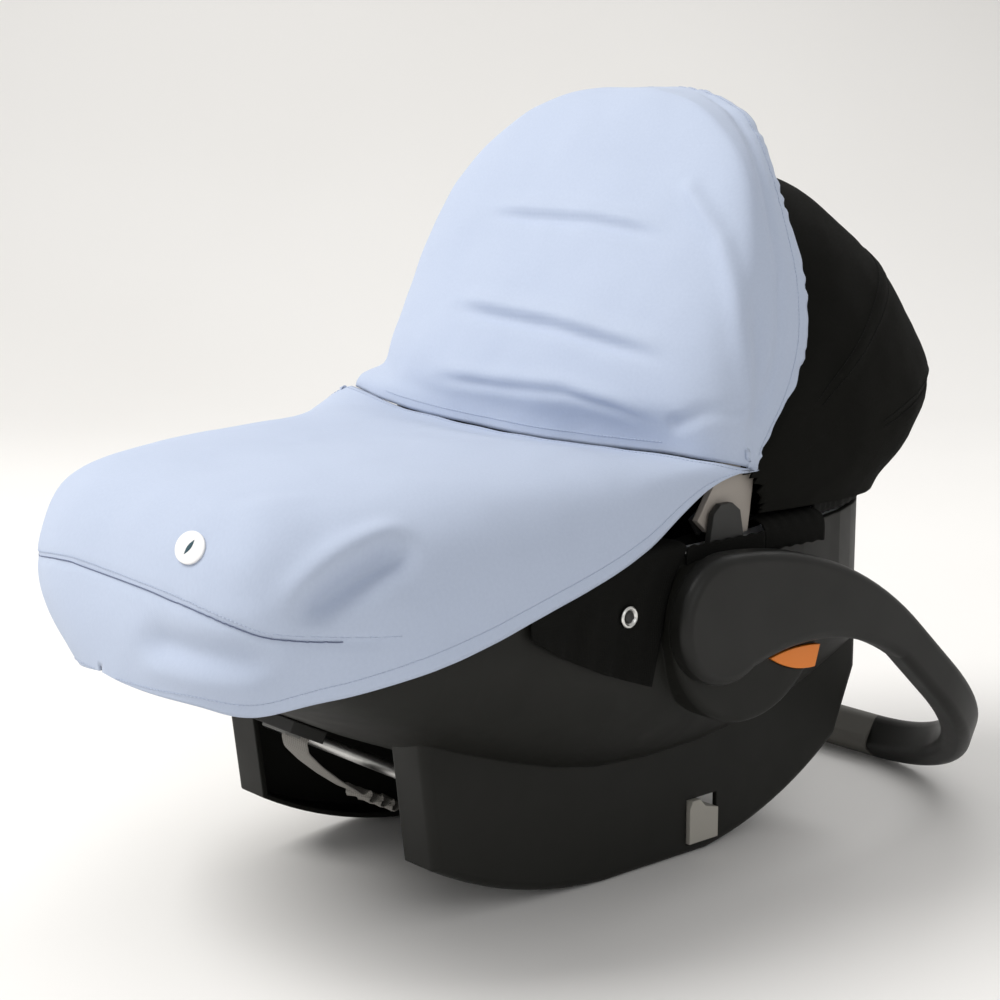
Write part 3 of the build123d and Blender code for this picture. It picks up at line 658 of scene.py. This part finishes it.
def hoodPoints():
    heights = evenly([(z, row[0] * 0.7, row[1]) for z, row in
                      ((z, curveThrough(hoodStations, z))
                       for z in [300 + 259.2 * (1 - (1 - i / 600) ** 2) for i in range(601)])],
                     hood["rows"])
    rows = []
    for stop in heights:
        z = stop.x
        half, front, side, rearHalf, rear = curveThrough(hoodStations, z)
        line = []
        for i in range(-160, 161):
            s = abs(i) / 160
            sign = 1 if i >= 0 else -1
            if s < 0.72:
                turn = s / 0.72 * math.pi / 2
                x = half * math.sin(turn) ** (2 / hood["round"])
                y = side - (side - front) * max(math.cos(turn), 0.0) ** (2 / hood["round"])
            else:
                q = (s - 0.72) / 0.28
                x = mix(half, rearHalf, q * q)
                y = mix(side, rear, q)
            line.append((sign * x, y, 0))
        row = []
        for k, point in enumerate(evenly(line, hood["columns"])):
            x, y = point.x, point.y
            edgeY, edgeZ = zipAt(x)
            low = ease((352 - z) / 52)
            frontPart = ease((side + 14 - y) / 24) if abs(x) > 150 else 1.0
            y = mix(y, edgeY + 1.2, low * frontPart)
            height = z + (edgeZ - 300) * ease((352 - z) / 52) * mix(0.1, 1.0, frontPart)
            row.append(Vector((x, y, height)))
        rows.append(row)
    return rows


hoodRows = hoodPoints()
hoodPiece = clothGrid("hoodCloth", hoodRows, materials["coverCloth"], (0, 120, 400))
hoodTree = surfaceOf(hoodPiece)
foldA = laid([(-96, 33, 465), (-23, 29, 465), (38, 29, 464), (83, 29, 460), (113, 30, 455)], hoodTree, 0.0, 30)
foldB = laid([(-95, -4, 397), (-23, -10, 394), (29, -11, 392), (94, -10, 384), (153, -1, 374)], hoodTree, 0.0, 36)
foldC = laid([(-93, -25, 345), (0, -29, 346), (62, -27, 348), (110, -20, 341), (148, -5, 332)], hoodTree, 0.0, 36)
bowRidge = laid([(100, 50, 500), (125, 45, 479), (152, 40, 456), (171, 33, 424), (181, 30, 391), (185, 30, 357),
                 (187, 26, 325)], hoodTree, 0.0, 40)
foldD = laid([(140, 20, 345), (165, 30, 340)], hoodTree, 0.0, 8)
bowLine = [Vector(row[-12]) for row in hoodRows[8:-8:2]]
bowLineFar = [Vector(row[11]) for row in hoodRows[8:-8:2]]


def gathers(p):
    # small puckers where elastic draws in the rear edge
    _, _, side, _, rear = curveThrough(hoodStations, clamp(p.z, 300, 559))
    near = ease((p.y - rear + 16) / 14)
    angle = math.atan2(p.z - 300, abs(p.x))
    wave = math.sin(angle * 96 + 3.1 * math.sin(angle * 13) + 1.7 * math.sin(angle * 29))
    return hood["pucker"] * near * wave * (0.55 + 0.45 * math.sin(angle * 23))


def steps(line, width, depth):
    # a tension fold: a sharp lower side under a soft ridge
    upper = [p + Vector((0, 0, width * 0.9)) for p in line]
    first, second = crease(line, width, -depth), crease(upper, width * 1.5, depth * 0.9)
    return lambda p: first(p) + second(p)


pressIn(hoodPiece, [
    steps(foldA, 5.5, 6.0), steps(foldB, 6, 7.5), steps(foldC, 5, 3.6), crease(foldD, 6, -3.5),
    crease(bowLine, 5, -2.4, 0.1), crease(bowLineFar, 5, -2.4, 0.1), crease(bowRidge, 7, 4.0, 0.1),
    crease([p + Vector((0, 16, 0)) for p in bowRidge], 7, -2.6, 0.1), gathers, ripples(2.4, 95, 11),
])
thicken(hoodPiece, hood["wall"])
print("car seat: hood")

# zip tape under the gap between cover and hood
zipLine = [Vector((x, *zipAt(x))) for x in range(-184, 185, 8)]
zipRows = [[p + Vector((0, shift, -2.6)) for p in zipLine] for shift in (-12, -8, -4, 0)]
zipPiece = clothGrid("coverZipTape", zipRows, materials["zipTape"], (0, 0, 100))
thicken(zipPiece, 0.8)

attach(coverPiece, "carrier")
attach(zipPiece, "carrier")
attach(hoodPiece, "canopy")
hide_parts("leg_cover")
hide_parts("cover_hood")

# canopy behind the hood
canopy = {
    "hinge": (13, 271),     # y and z of the line that the arches turn on
    "half": 184.6,
    "root": 34,
    "columns": 118,
    "rows": 64,
    "wall": 1.8,
}
canopyStations = [
    # lean from upright, reach, squareness
    (24, 264, 2.6), (32, 279, 2.9), (40, 288, 3.1), (55, 299, 3.5), (68, 314, 3.8), (76, 315, 3.9), (83, 288, 3.8),
    (89, 248, 3.6), (92, 236, 3.6),
]


def archPoint(lean, half, reach, power, angle):
    c, s = math.cos(angle), max(math.sin(angle), 0.0)
    r = reach * s ** (2 / power)
    turn = math.radians(lean)
    return Vector((math.copysign(half * abs(c) ** (2 / power), c), canopy["hinge"][0] + r * math.sin(turn),
                   canopy["hinge"][1] + r * math.cos(turn))), r


canopyRows = []
for i in range(canopy["rows"]):
    lean = mix(24, 92, i / (canopy["rows"] - 1))
    reach, power = curveThrough(canopyStations, lean)
    line = []
    for k in range(401):
        point, r = archPoint(lean, canopy["half"] - 7 * ease((46 - lean) / 16), reach, power, math.pi * (1 - k / 400))
        if r > canopy["root"]:
            line.append(point)
    canopyRows.append(evenly(line, canopy["columns"]))
canopyPiece = clothGrid("canopyCloth", canopyRows, materials["canopyCloth"], (0, 60, 260))
canopyTree = surfaceOf(canopyPiece)


def rib(lean, count=60, low=12):
    reach, power = curveThrough(canopyStations, lean)
    stops = [archPoint(lean, canopy["half"], reach, power, math.radians(a)) for a in range(low, 181 - low, 2)]
    return laid([p for p, r in stops if r > canopy["root"] + 2], canopyTree, 0.0, count)


bowRib = rib(55)
gusset = rib(76, 60, 20)
sags = [crease(rib(lean), 22, depth, 0.3) for lean, depth in ((33, -2.0), (46, -2.2), (66, -2.5))]
pressIn(canopyPiece, sags + [crease(bowRib, 7, 2.2, 0.1), crease(gusset, 3.5, -1.8, 0.1),
                             ripples(1.4, 70, 5), ripples(0.5, 24, 9)])
thicken(canopyPiece, canopy["wall"])
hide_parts("canopy_fabric")
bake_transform(canopyPiece)
print("car seat: canopy")

# elastic band round the head end
band = {"low": 256, "high": 277, "wall": 2.2}
shellCopy = cadCopy("rimGuide", "canopy_rim_band", materials["rimCloth"])
guideTree = surfaceOf(shellCopy)


def onBand(side, z):
    # the band's outer face at a height, from the near end round the back to the far end
    out = []
    for i in range(121):
        angle = math.pi * (i / 120 - 0.5) * side
        start = Vector((math.sin(angle) * 300, 120 + math.cos(angle) * 260, z)) * mm
        aim = Vector((0, 0.120, z * mm)) - start
        hit = guideTree.ray_cast(start, aim.normalized())
        if hit[0] is not None:
            out.append(hit[0] / mm)
    return out


bandRows = []
for i in range(11):
    z = mix(band["low"], band["high"], i / 10)
    line = onBand(1, clamp(z, 255.8, 276.5))
    swell = 1.2 * math.sin(math.pi * i / 10)
    row = []
    for p in evenly(line, 180):
        out = Vector((p.x, p.y - 120, 0)).normalized()
        row.append(Vector((p.x, p.y, z)) + out * (swell + 0.4))
    bandRows.append(row)
bandPiece = clothGrid("canopyRimBand", bandRows, materials["rimCloth"], (0, 120, 265))


def tucks(p):
    angle = math.atan2(p.x, p.y - 120)
    return 0.5 * math.sin(angle * 90 + 3 * math.sin(angle * 13))


pressIn(bandPiece, [tucks])
thicken(bandPiece, band["wall"])
bpy.data.objects.remove(shellCopy)
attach(bandPiece, "carrier")
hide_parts("canopy_rim_band")

# seat pad and its side flaps
flap = {
    "x": 187.3,
    "front": -166,
    "top": 258,
    "wall": 1.3,
    "hang": [(-166, 216), (-140, 200), (-105, 183), (-62, 167)],     # lower edge, y and z
    "rear": [(-62, 167), (-55, 190), (-50, 214), (-40, 238), (-28, 256)],
}


def flapRows(side):
    bottom = evenly([Vector((0, y, z)) for y, z in flap["hang"]], 46)
    rear = evenly([Vector((0, y, z)) for y, z in flap["rear"]], 30)
    rows = []
    for i in range(30):
        t = i / 29
        row = []
        for k in range(46):
            share = k / 45
            top = Vector((0, mix(flap["front"], flap["rear"][-1][0], share), flap["top"]))
            p = bottom[k].lerp(top, t)
            p += (rear[i] - bottom[-1].lerp(Vector((0, flap["rear"][-1][0], flap["top"])), t)) * share ** 2
            _, hem, _ = curveThrough(coverStations, p.y)
            free = ease((hem - 8 - p.z) / 14)
            drape = 1.5 + 1.5 * math.sin(share * 15 + t * 2.0) + 1.1 * math.sin(share * 33 + t)
            row.append(Vector((side * (flap["x"] + max(0.0, drape) * free), p.y, p.z)))
        rows.append(row)
    # over the rim and onto the pad
    last = rows[-1]
    for lift, shift in ((2.5, -1.5), (4.0, -5.0), (4.6, -12.0), (4.4, -21.0), (3.2, -27.5)):
        rows.append([Vector((p.x + side * shift, p.y, p.z + lift * 0.6)) for p in last])
    return rows


for side, tag in ((1, "right"), (-1, "left")):
    flapPiece = clothGrid("padFlap_" + tag, flapRows(side), materials["padCloth"], (0, -80, 200))
    pressIn(flapPiece, [ripples(0.8, 30, 21)])
    for v in flapPiece.data.vertices:
        if v.co.z < 0.2575:
            v.co.x = math.copysign(max(abs(v.co.x), 0.1872), v.co.x)
    thicken(flapPiece, flap["wall"], 1.0)
    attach(flapPiece, "carrier")

# black lining turned over the rim beside the hinge and behind it
trim = {
    "wall": 1.2,
    "outer": [(187.4, 243), (187.6, 248), (187.6, 253), (187.2, 257)],
    "over": [(184.5, 261), (179, 263.5), (171, 263.5), (163, 261.5), (158, 258)],
    "ends": (-27, 50, 113),
}
for side, tag in ((1, "right"), (-1, "left")):
    low, bend, high = trim["ends"]
    for part, span, profile in (("front", (low, bend), trim["outer"]),
                                ("rear", (bend + 0.6, high), trim["outer"] + trim["over"])):
        line = [mix(span[0], span[1], k / 40) for k in range(41)]
        trimRows = [[Vector((side * x, y, z + 0.5 * math.sin(y * 0.55))) for y in line]
                    for x, z in [(p.x, p.y) for p in evenly([(a, b, 0) for a, b in profile], 14)]]
        trimPiece = clothGrid("rimLining_" + part + "_" + tag, trimRows, materials["padCloth"], (0, 40, 240))
        thicken(trimPiece, trim["wall"], 1.0)
        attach(trimPiece, "carrier")
        (span[1] - span[0]) * mm
        (14 if part == "front" else 45) * mm

padPiece = cadCopy("seatPadCushion", "seat_pad", materials["padCloth"],
                   lambda p: abs(p.x) < 161 and (abs(p.x) < 157.8 or p.z < 253.5))
plump(padPiece, 5.0, 3.0, 2.0)
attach(padPiece, "carrier")
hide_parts("seat_pad")
insertPiece = cadCopy("headInsertCushion", "head_insert", materials["padCloth"])
plump(insertPiece, 5.0, 5.0)
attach(insertPiece, "carrier")
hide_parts("head_insert")
for tag in ("left", "right"):
    sleeve = cadCopy("shoulderSleeve_" + tag, "shoulder_pad_" + tag, materials["padCloth"])
    plump(sleeve, 2.5, 1.2, 2.0)
    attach(sleeve, "carrier")
    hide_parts("shoulder_pad_" + tag)
print("car seat: pads")

# harness and adjuster webbing
harness = {"width": 30, "thick": 1.6, "x": 30, "lift": 4.0, "slope": (80.0, 136.0, 45.497), "tongue": 120.5}


def onBack(along, lift):
    y0, z0, angle = harness["slope"]
    a = math.radians(angle)
    return y0 + along * math.cos(a) - lift * math.sin(a), z0 + along * math.sin(a) + lift * math.cos(a)


for side, tag in ((1, "right"), (-1, "left")):
    upper = onBack(138, harness["lift"] + 0.8)
    bend = onBack(-8, harness["lift"] + 0.8)
    route = [(side * harness["x"], *upper), (side * harness["x"], *bend), (side * harness["x"], 54, harness["tongue"] + 1.8)]
    strapPiece = ribbon("harnessWeb_" + tag, route, harness["width"], harness["thick"], materials["strapWeb"])
    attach(strapPiece, "carrier")
    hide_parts("harness_strap_" + tag)
crotchWeb = ribbon("crotchWeb", [(0, -64, 116.3), (0, -20.5, 116.3)],
                   harness["width"], harness["thick"], materials["strapWeb"])
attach(crotchWeb, "carrier")
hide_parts("crotch_strap")



def eased(line, rounds):
    # rubs the corners off a line of points and keeps its ends
    for _ in range(rounds):
        line = line[:1] + [(a + b * 2 + c) / 4 for a, b, c in zip(line, line[1:], line[2:])] + line[-1:]
    return line


tail = {"width": 30, "thick": 1.6}
tailRoute = [(0, -214.1, 122.9), (-0.5, -216.8, 117.5), (-1, -214.8, 109.2), (0, -203.8, 97.2), (1, -188.8, 84.2),
             (2, -171, 71)]
# the loose end lies in tight crumples
tailRoute += [(2 + k, -171 + 4.2 * k + (3.2 if k % 2 else -3.2), 71 - 2.2 * k + (2.6 if k % 2 else -2.6))
              for k in range(1, 8)]
smoothTail = eased(evenly(tailRoute, 160), 6)
tailPiece = ribbon("adjusterWeb", smoothTail, tail["width"], tail["thick"], materials["strapWeb"], step=1.2)
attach(tailPiece, "carrier")
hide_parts("adjuster_strap")

# small fittings
snap = {"y": -82, "z": 218, "x": 189.4,
        "rings": [(7.6, 0.0), (7.6, 1.3), (6.9, 2.1), (5.9, 2.3), (5.0, 1.7), (4.4, 0.9), (4.3, 0.7)],
        "eye": [(4.3, 0.7), (3.4, 0.8), (2.6, 1.6), (1.4, 2.0), (0.01, 2.1)]}


def turned(name, profile, side, material, count=40):
    # a round fitting turned about the X axis, from (radius, height) pairs
    work = bmesh.new()
    rings = []
    for radius, height in profile:
        ring = []
        for k in range(count):
            angle = 2 * math.pi * k / count
            ring.append(work.verts.new(Vector((side * (snap["x"] + height), snap["y"] + radius * math.cos(angle),
                                               snap["z"] + radius * math.sin(angle))) * mm))
        rings.append(ring)
    for a, b in zip(rings, rings[1:]):
        for k in range(count):
            work.faces.new((a[k], a[(k + 1) % count], b[(k + 1) % count], b[k]))
    work.faces.new(rings[0])
    work.faces.new(rings[-1])
    bmesh.ops.remove_doubles(work, verts=work.verts, dist=0.00001)
    bmesh.ops.recalc_face_normals(work, faces=work.faces)
    mesh = bpy.data.meshes.new(name)
    work.to_mesh(mesh)
    work.free()
    return asObject(name, mesh, material)


for side, tag in ((1, "right"), (-1, "left")):
    ringPiece = turned("snapRing_" + tag, snap["rings"], side, materials["snapSilver"])
    eyePiece = turned("snapEye_" + tag, snap["eye"], side, materials["dark"])
    for piece in (ringPiece, eyePiece):
        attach(piece, "carrier")
    if side == 1:
        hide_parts("pad_snaps")

# blank oval label with a sewn rim and a small leaf
badge = {"at": (75, -344, 283), "wide": 14.0, "high": 10.5, "thick": 1.0, "turn": -14}
badgeSpot, badgeUp = onSurface(surfaceOf(coverPiece), badge["at"], 0.15)
eastward = Vector((1, 0, 0)) - badgeUp * badgeUp.x
eastward.normalize()
eastward = (eastward * math.cos(math.radians(badge["turn"]))
            + badgeUp.cross(eastward) * math.sin(math.radians(badge["turn"])))
northward = badgeUp.cross(eastward)


def badgeDisc(name, material, outline, low, high):
    work = bmesh.new()
    rings = [[work.verts.new((badgeSpot + eastward * x * size + northward * y * size + badgeUp * lift) * mm)
              for x, y in outline]
             for size, lift in ((1.0, low), (1.0, high - 0.2), (0.96, high), (0.5, high + 0.06))]
    n = len(outline)
    for a, b in zip(rings, rings[1:]):
        for k in range(n):
            work.faces.new((a[k], a[(k + 1) % n], b[(k + 1) % n], b[k]))
    work.faces.new(rings[0])
    work.faces.new(rings[-1])
    bmesh.ops.recalc_face_normals(work, faces=work.faces)
    mesh = bpy.data.meshes.new(name)
    work.to_mesh(mesh)
    work.free()
    return asObject(name, mesh, material)


oval = [(badge["wide"] * math.cos(a), badge["high"] * math.sin(a)) for a in [2 * math.pi * k / 56 for k in range(56)]]
badgePiece = badgeDisc("badgeLabel", materials["label"], oval, -0.4, badge["thick"])
leafSides = ((1, [k / 12 for k in range(13)]), (-1, [1 - k / 12 for k in range(1, 12)]))
leaf = [(1.9 * math.sin(math.pi * t) * s, -5.5 + 11 * t) for s, ts in leafSides for t in ts]
leafPiece = badgeDisc("badgeLeaf", materials["labelInk"], leaf, badge["thick"] - 0.1, badge["thick"] + 0.3)
for piece in (badgePiece, leafPiece):
    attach(piece, "carrier")
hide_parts("cover_badge")
print("car seat: fittings")


# stitches and seam threads, laid by a geometry node tree
def stitchTree():
    tree = bpy.data.node_groups.new("stitchRun", "GeometryNodeTree")
    sockets = {}
    for name, kind, value in (("Path", "NodeSocketGeometry", None), ("Pitch", "NodeSocketFloat", 0.003),
                              ("Length", "NodeSocketFloat", 0.0022), ("Thread", "NodeSocketFloat", 0.0003),
                              ("Finish", "NodeSocketMaterial", None)):
        made = tree.interface.new_socket(name=name, in_out="INPUT", socket_type=kind)
        if value is not None:
            made.default_value = value
        sockets[name] = made.identifier
    tree.interface.new_socket(name="Stitches", in_out="OUTPUT", socket_type="NodeSocketGeometry")
    add, link = tree.nodes.new, tree.links.new
    source, result = add("NodeGroupInput"), add("NodeGroupOutput")
    toCurve, spaced = add("GeometryNodeMeshToCurve"), add("GeometryNodeResampleCurve")
    spaced.mode = "LENGTH"
    tangent, turn = add("GeometryNodeInputTangent"), add("FunctionNodeAlignRotationToVector")
    turn.axis = "Z"
    thread = add("GeometryNodeMeshCylinder")
    thread.inputs["Vertices"].default_value = 6
    place, real = add("GeometryNodeInstanceOnPoints"), add("GeometryNodeRealizeInstances")
    paint = add("GeometryNodeSetMaterial")
    link(source.outputs["Path"], toCurve.inputs[0])
    link(toCurve.outputs[0], spaced.inputs["Curve"])
    link(source.outputs["Pitch"], spaced.inputs["Length"])
    link(source.outputs["Length"], thread.inputs["Depth"])
    link(source.outputs["Thread"], thread.inputs["Radius"])
    link(tangent.outputs[0], turn.inputs["Vector"])
    link(spaced.outputs[0], place.inputs["Points"])
    link(thread.outputs["Mesh"], place.inputs["Instance"])
    link(turn.outputs[0], place.inputs["Rotation"])
    link(place.outputs[0], real.inputs[0])
    link(real.outputs[0], paint.inputs["Geometry"])
    link(source.outputs["Finish"], paint.inputs["Material"])
    link(paint.outputs[0], result.inputs[0])
    return tree, sockets


stitchNodes, stitchSockets = stitchTree()


def stitchRun(name, lines, material, pitch=3.0, length=2.2, thread=0.28):
    mesh = bpy.data.meshes.new(name)
    verts, edges = [], []
    for line in lines:
        first = len(verts)
        verts += [p * mm for p in line]
        edges += [(first + k, first + k + 1) for k in range(len(line) - 1)]
    mesh.from_pydata(verts, edges, [])
    piece = bpy.data.objects.new(name, mesh)
    bpy.context.scene.collection.objects.link(piece)
    run = piece.modifiers.new("run", "NODES")
    run.node_group = stitchNodes
    for key, value in (("Pitch", pitch * mm), ("Length", length * mm), ("Thread", thread * mm), ("Finish", material)):
        run[stitchSockets[key]] = value
    settle(piece)
    return piece


coverSkin, hoodSkin, canopySkin = surfaceOf(coverPiece), surfaceOf(hoodPiece), surfaceOf(canopyPiece)
seamA = laid(eased(laid(toeSeam[:-8], coverSkin, 0.25, 200), 14), coverSkin, 0.2)
beside = laid([p + Vector((0, 0, 3.2)) for p in toeSeam], coverSkin, 0.2, 180)
# a near-continuous dark stitch line along the toe seam: partly the seam's thread, partly painted shade for the shadow
# in its groove
seamThreadAndShade = stitchRun("toeSeamThreadAndShade", [seamA], materials["coverSeamThreadAndShade"], 1.6, 1.75, 0.42)
hemLine = laid([coverRows[k][-4] for k in range(4, len(coverRows) - 3)], coverSkin, 0.2, 200)
hemLineFar = laid([coverRows[k][3] for k in range(4, len(coverRows) - 3)], coverSkin, 0.2, 200)
zipCover = laid([Vector(p) for p in coverRows[-3][4:-4]], coverSkin, 0.2, 160)
coverStitches = stitchRun("coverStitches", [beside, hemLine, hemLineFar, zipCover], materials["coverCloth"])
zipHood = laid([Vector(p) for p in hoodRows[3][34:-34]], hoodSkin, 0.2, 160)
edgeNear = laid([hoodRows[k][-5] for k in range(4, len(hoodRows) - 4)], hoodSkin, 0.2, 160)
edgeFar = laid([hoodRows[k][4] for k in range(4, len(hoodRows) - 4)], hoodSkin, 0.2, 160)
hoodStitches = stitchRun("hoodStitches", [zipHood, edgeNear, edgeFar], materials["coverCloth"])
for piece, body in ((seamThreadAndShade, "carrier"), (coverStitches, "carrier"), (hoodStitches, "canopy")):
    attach(piece, body)
gussetStitches = stitchRun("canopyStitches", [laid(rib(76, 90, 20), canopySkin, 0.25),
                                              laid(rib(74.5, 90, 20), canopySkin, 0.25),
                                              laid(rib(53.5, 90), canopySkin, 0.25),
                                              laid(rib(56.5, 90), canopySkin, 0.25)],
                           materials["rimCloth"], 3.2, 2.3, 0.32)
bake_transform(gussetStitches)
print("car seat: stitches")

# studio
studio = {"key": 66, "fill": 9, "rim": 18}
floorPaint = Finish("paleFloor", Roughness=0.9, Specular_IOR_Level=0.1)
floorPlace = floorPaint.place()
floorPaint.feed("Base Color", floorPaint.colours(floorPaint.range(floorPaint.cloud(floorPlace, 1.1, 2.0), 0.3, 0.7),
                                                 (0.86, 0.85, 0.835, 1), (0.885, 0.877, 0.864, 1)))
sweep = [Vector((0, y, 0)) for y in (-4.0, 0.0, 2.0)]
for k in range(1, 17):
    angle = math.pi / 2 * k / 16
    sweep.append(Vector((0, 2.0 + 1.5 * math.sin(angle), 1.5 - 1.5 * math.cos(angle))))
sweep.append(Vector((0, 3.5, 6.0)))
# the backdrop is turned to stand square behind the view
turn = math.radians(49.21)
away = Vector((-math.sin(turn), math.cos(turn), 0))
across = Vector((math.cos(turn), math.sin(turn), 0))
backMesh = bpy.data.meshes.new("studioFloor")
backVerts = [away * p.y + Vector((0, 0, p.z)) + across * side for p in sweep for side in (-6, 6)]
backFaces = [(2 * k, 2 * k + 1, 2 * k + 3, 2 * k + 2) for k in range(len(sweep) - 1)]
backMesh.from_pydata(backVerts, [], backFaces)
floorPiece = asObject("studioFloor", backMesh, floorPaint.material)

world = bpy.data.worlds.new("studioAir")
bpy.context.scene.world = world
world.use_nodes = True
world.node_tree.nodes["Background"].inputs["Color"].default_value = (1.0, 0.99, 0.975, 1)
world.node_tree.nodes["Background"].inputs["Strength"].default_value = 0.56


def softbox(name, place, aim, size, power, colour=(1, 1, 1)):
    light = bpy.data.lights.new(name, "AREA")
    light.shape = "RECTANGLE"
    light.size, light.size_y = size
    light.energy = power
    light.color = colour
    lamp = bpy.data.objects.new(name, light)
    lamp.location = place
    lamp.rotation_euler = (Vector(aim) - Vector(place)).to_track_quat("-Z", "Y").to_euler()
    bpy.context.scene.collection.objects.link(lamp)


centre = (0, 0, 0.25)
softbox("keyBox", (-1.1, -1.5, 2.3), centre, (1.6, 1.6), studio["key"], (1.0, 0.985, 0.96))
softbox("fillBox", (2.4, -0.9, 1.4), centre, (1.8, 1.4), studio["fill"], (0.97, 0.98, 1.0))
softbox("rimBox", (-0.6, 2.0, 2.2), centre, (1.8, 1.0), studio["rim"])

view = {"lens": 74.88, "azimuth": 49.21, "elevation": 10.93, "target": (-0.01199, -0.01936, 0.25869), "distance": 1.5441}
azimuth, elevation = math.radians(view["azimuth"]), math.radians(view["elevation"])
backward = Vector((math.sin(azimuth) * math.cos(elevation), -math.cos(azimuth) * math.cos(elevation), math.sin(elevation)))
lens = bpy.data.cameras.new("studioCamera")
lens.lens = view["lens"]
lens.sensor_width = 36
lens.clip_start = 0.05
eye = bpy.data.objects.new("studioCamera", lens)
eye.location = Vector(view["target"]) + backward * view["distance"]
eye.rotation_euler = (-backward).to_track_quat("-Z", "Y").to_euler()
bpy.context.scene.collection.objects.link(eye)
bpy.context.scene.camera = eye
bpy.context.scene.view_settings.view_transform = "Standard"
print("car seat: studio")
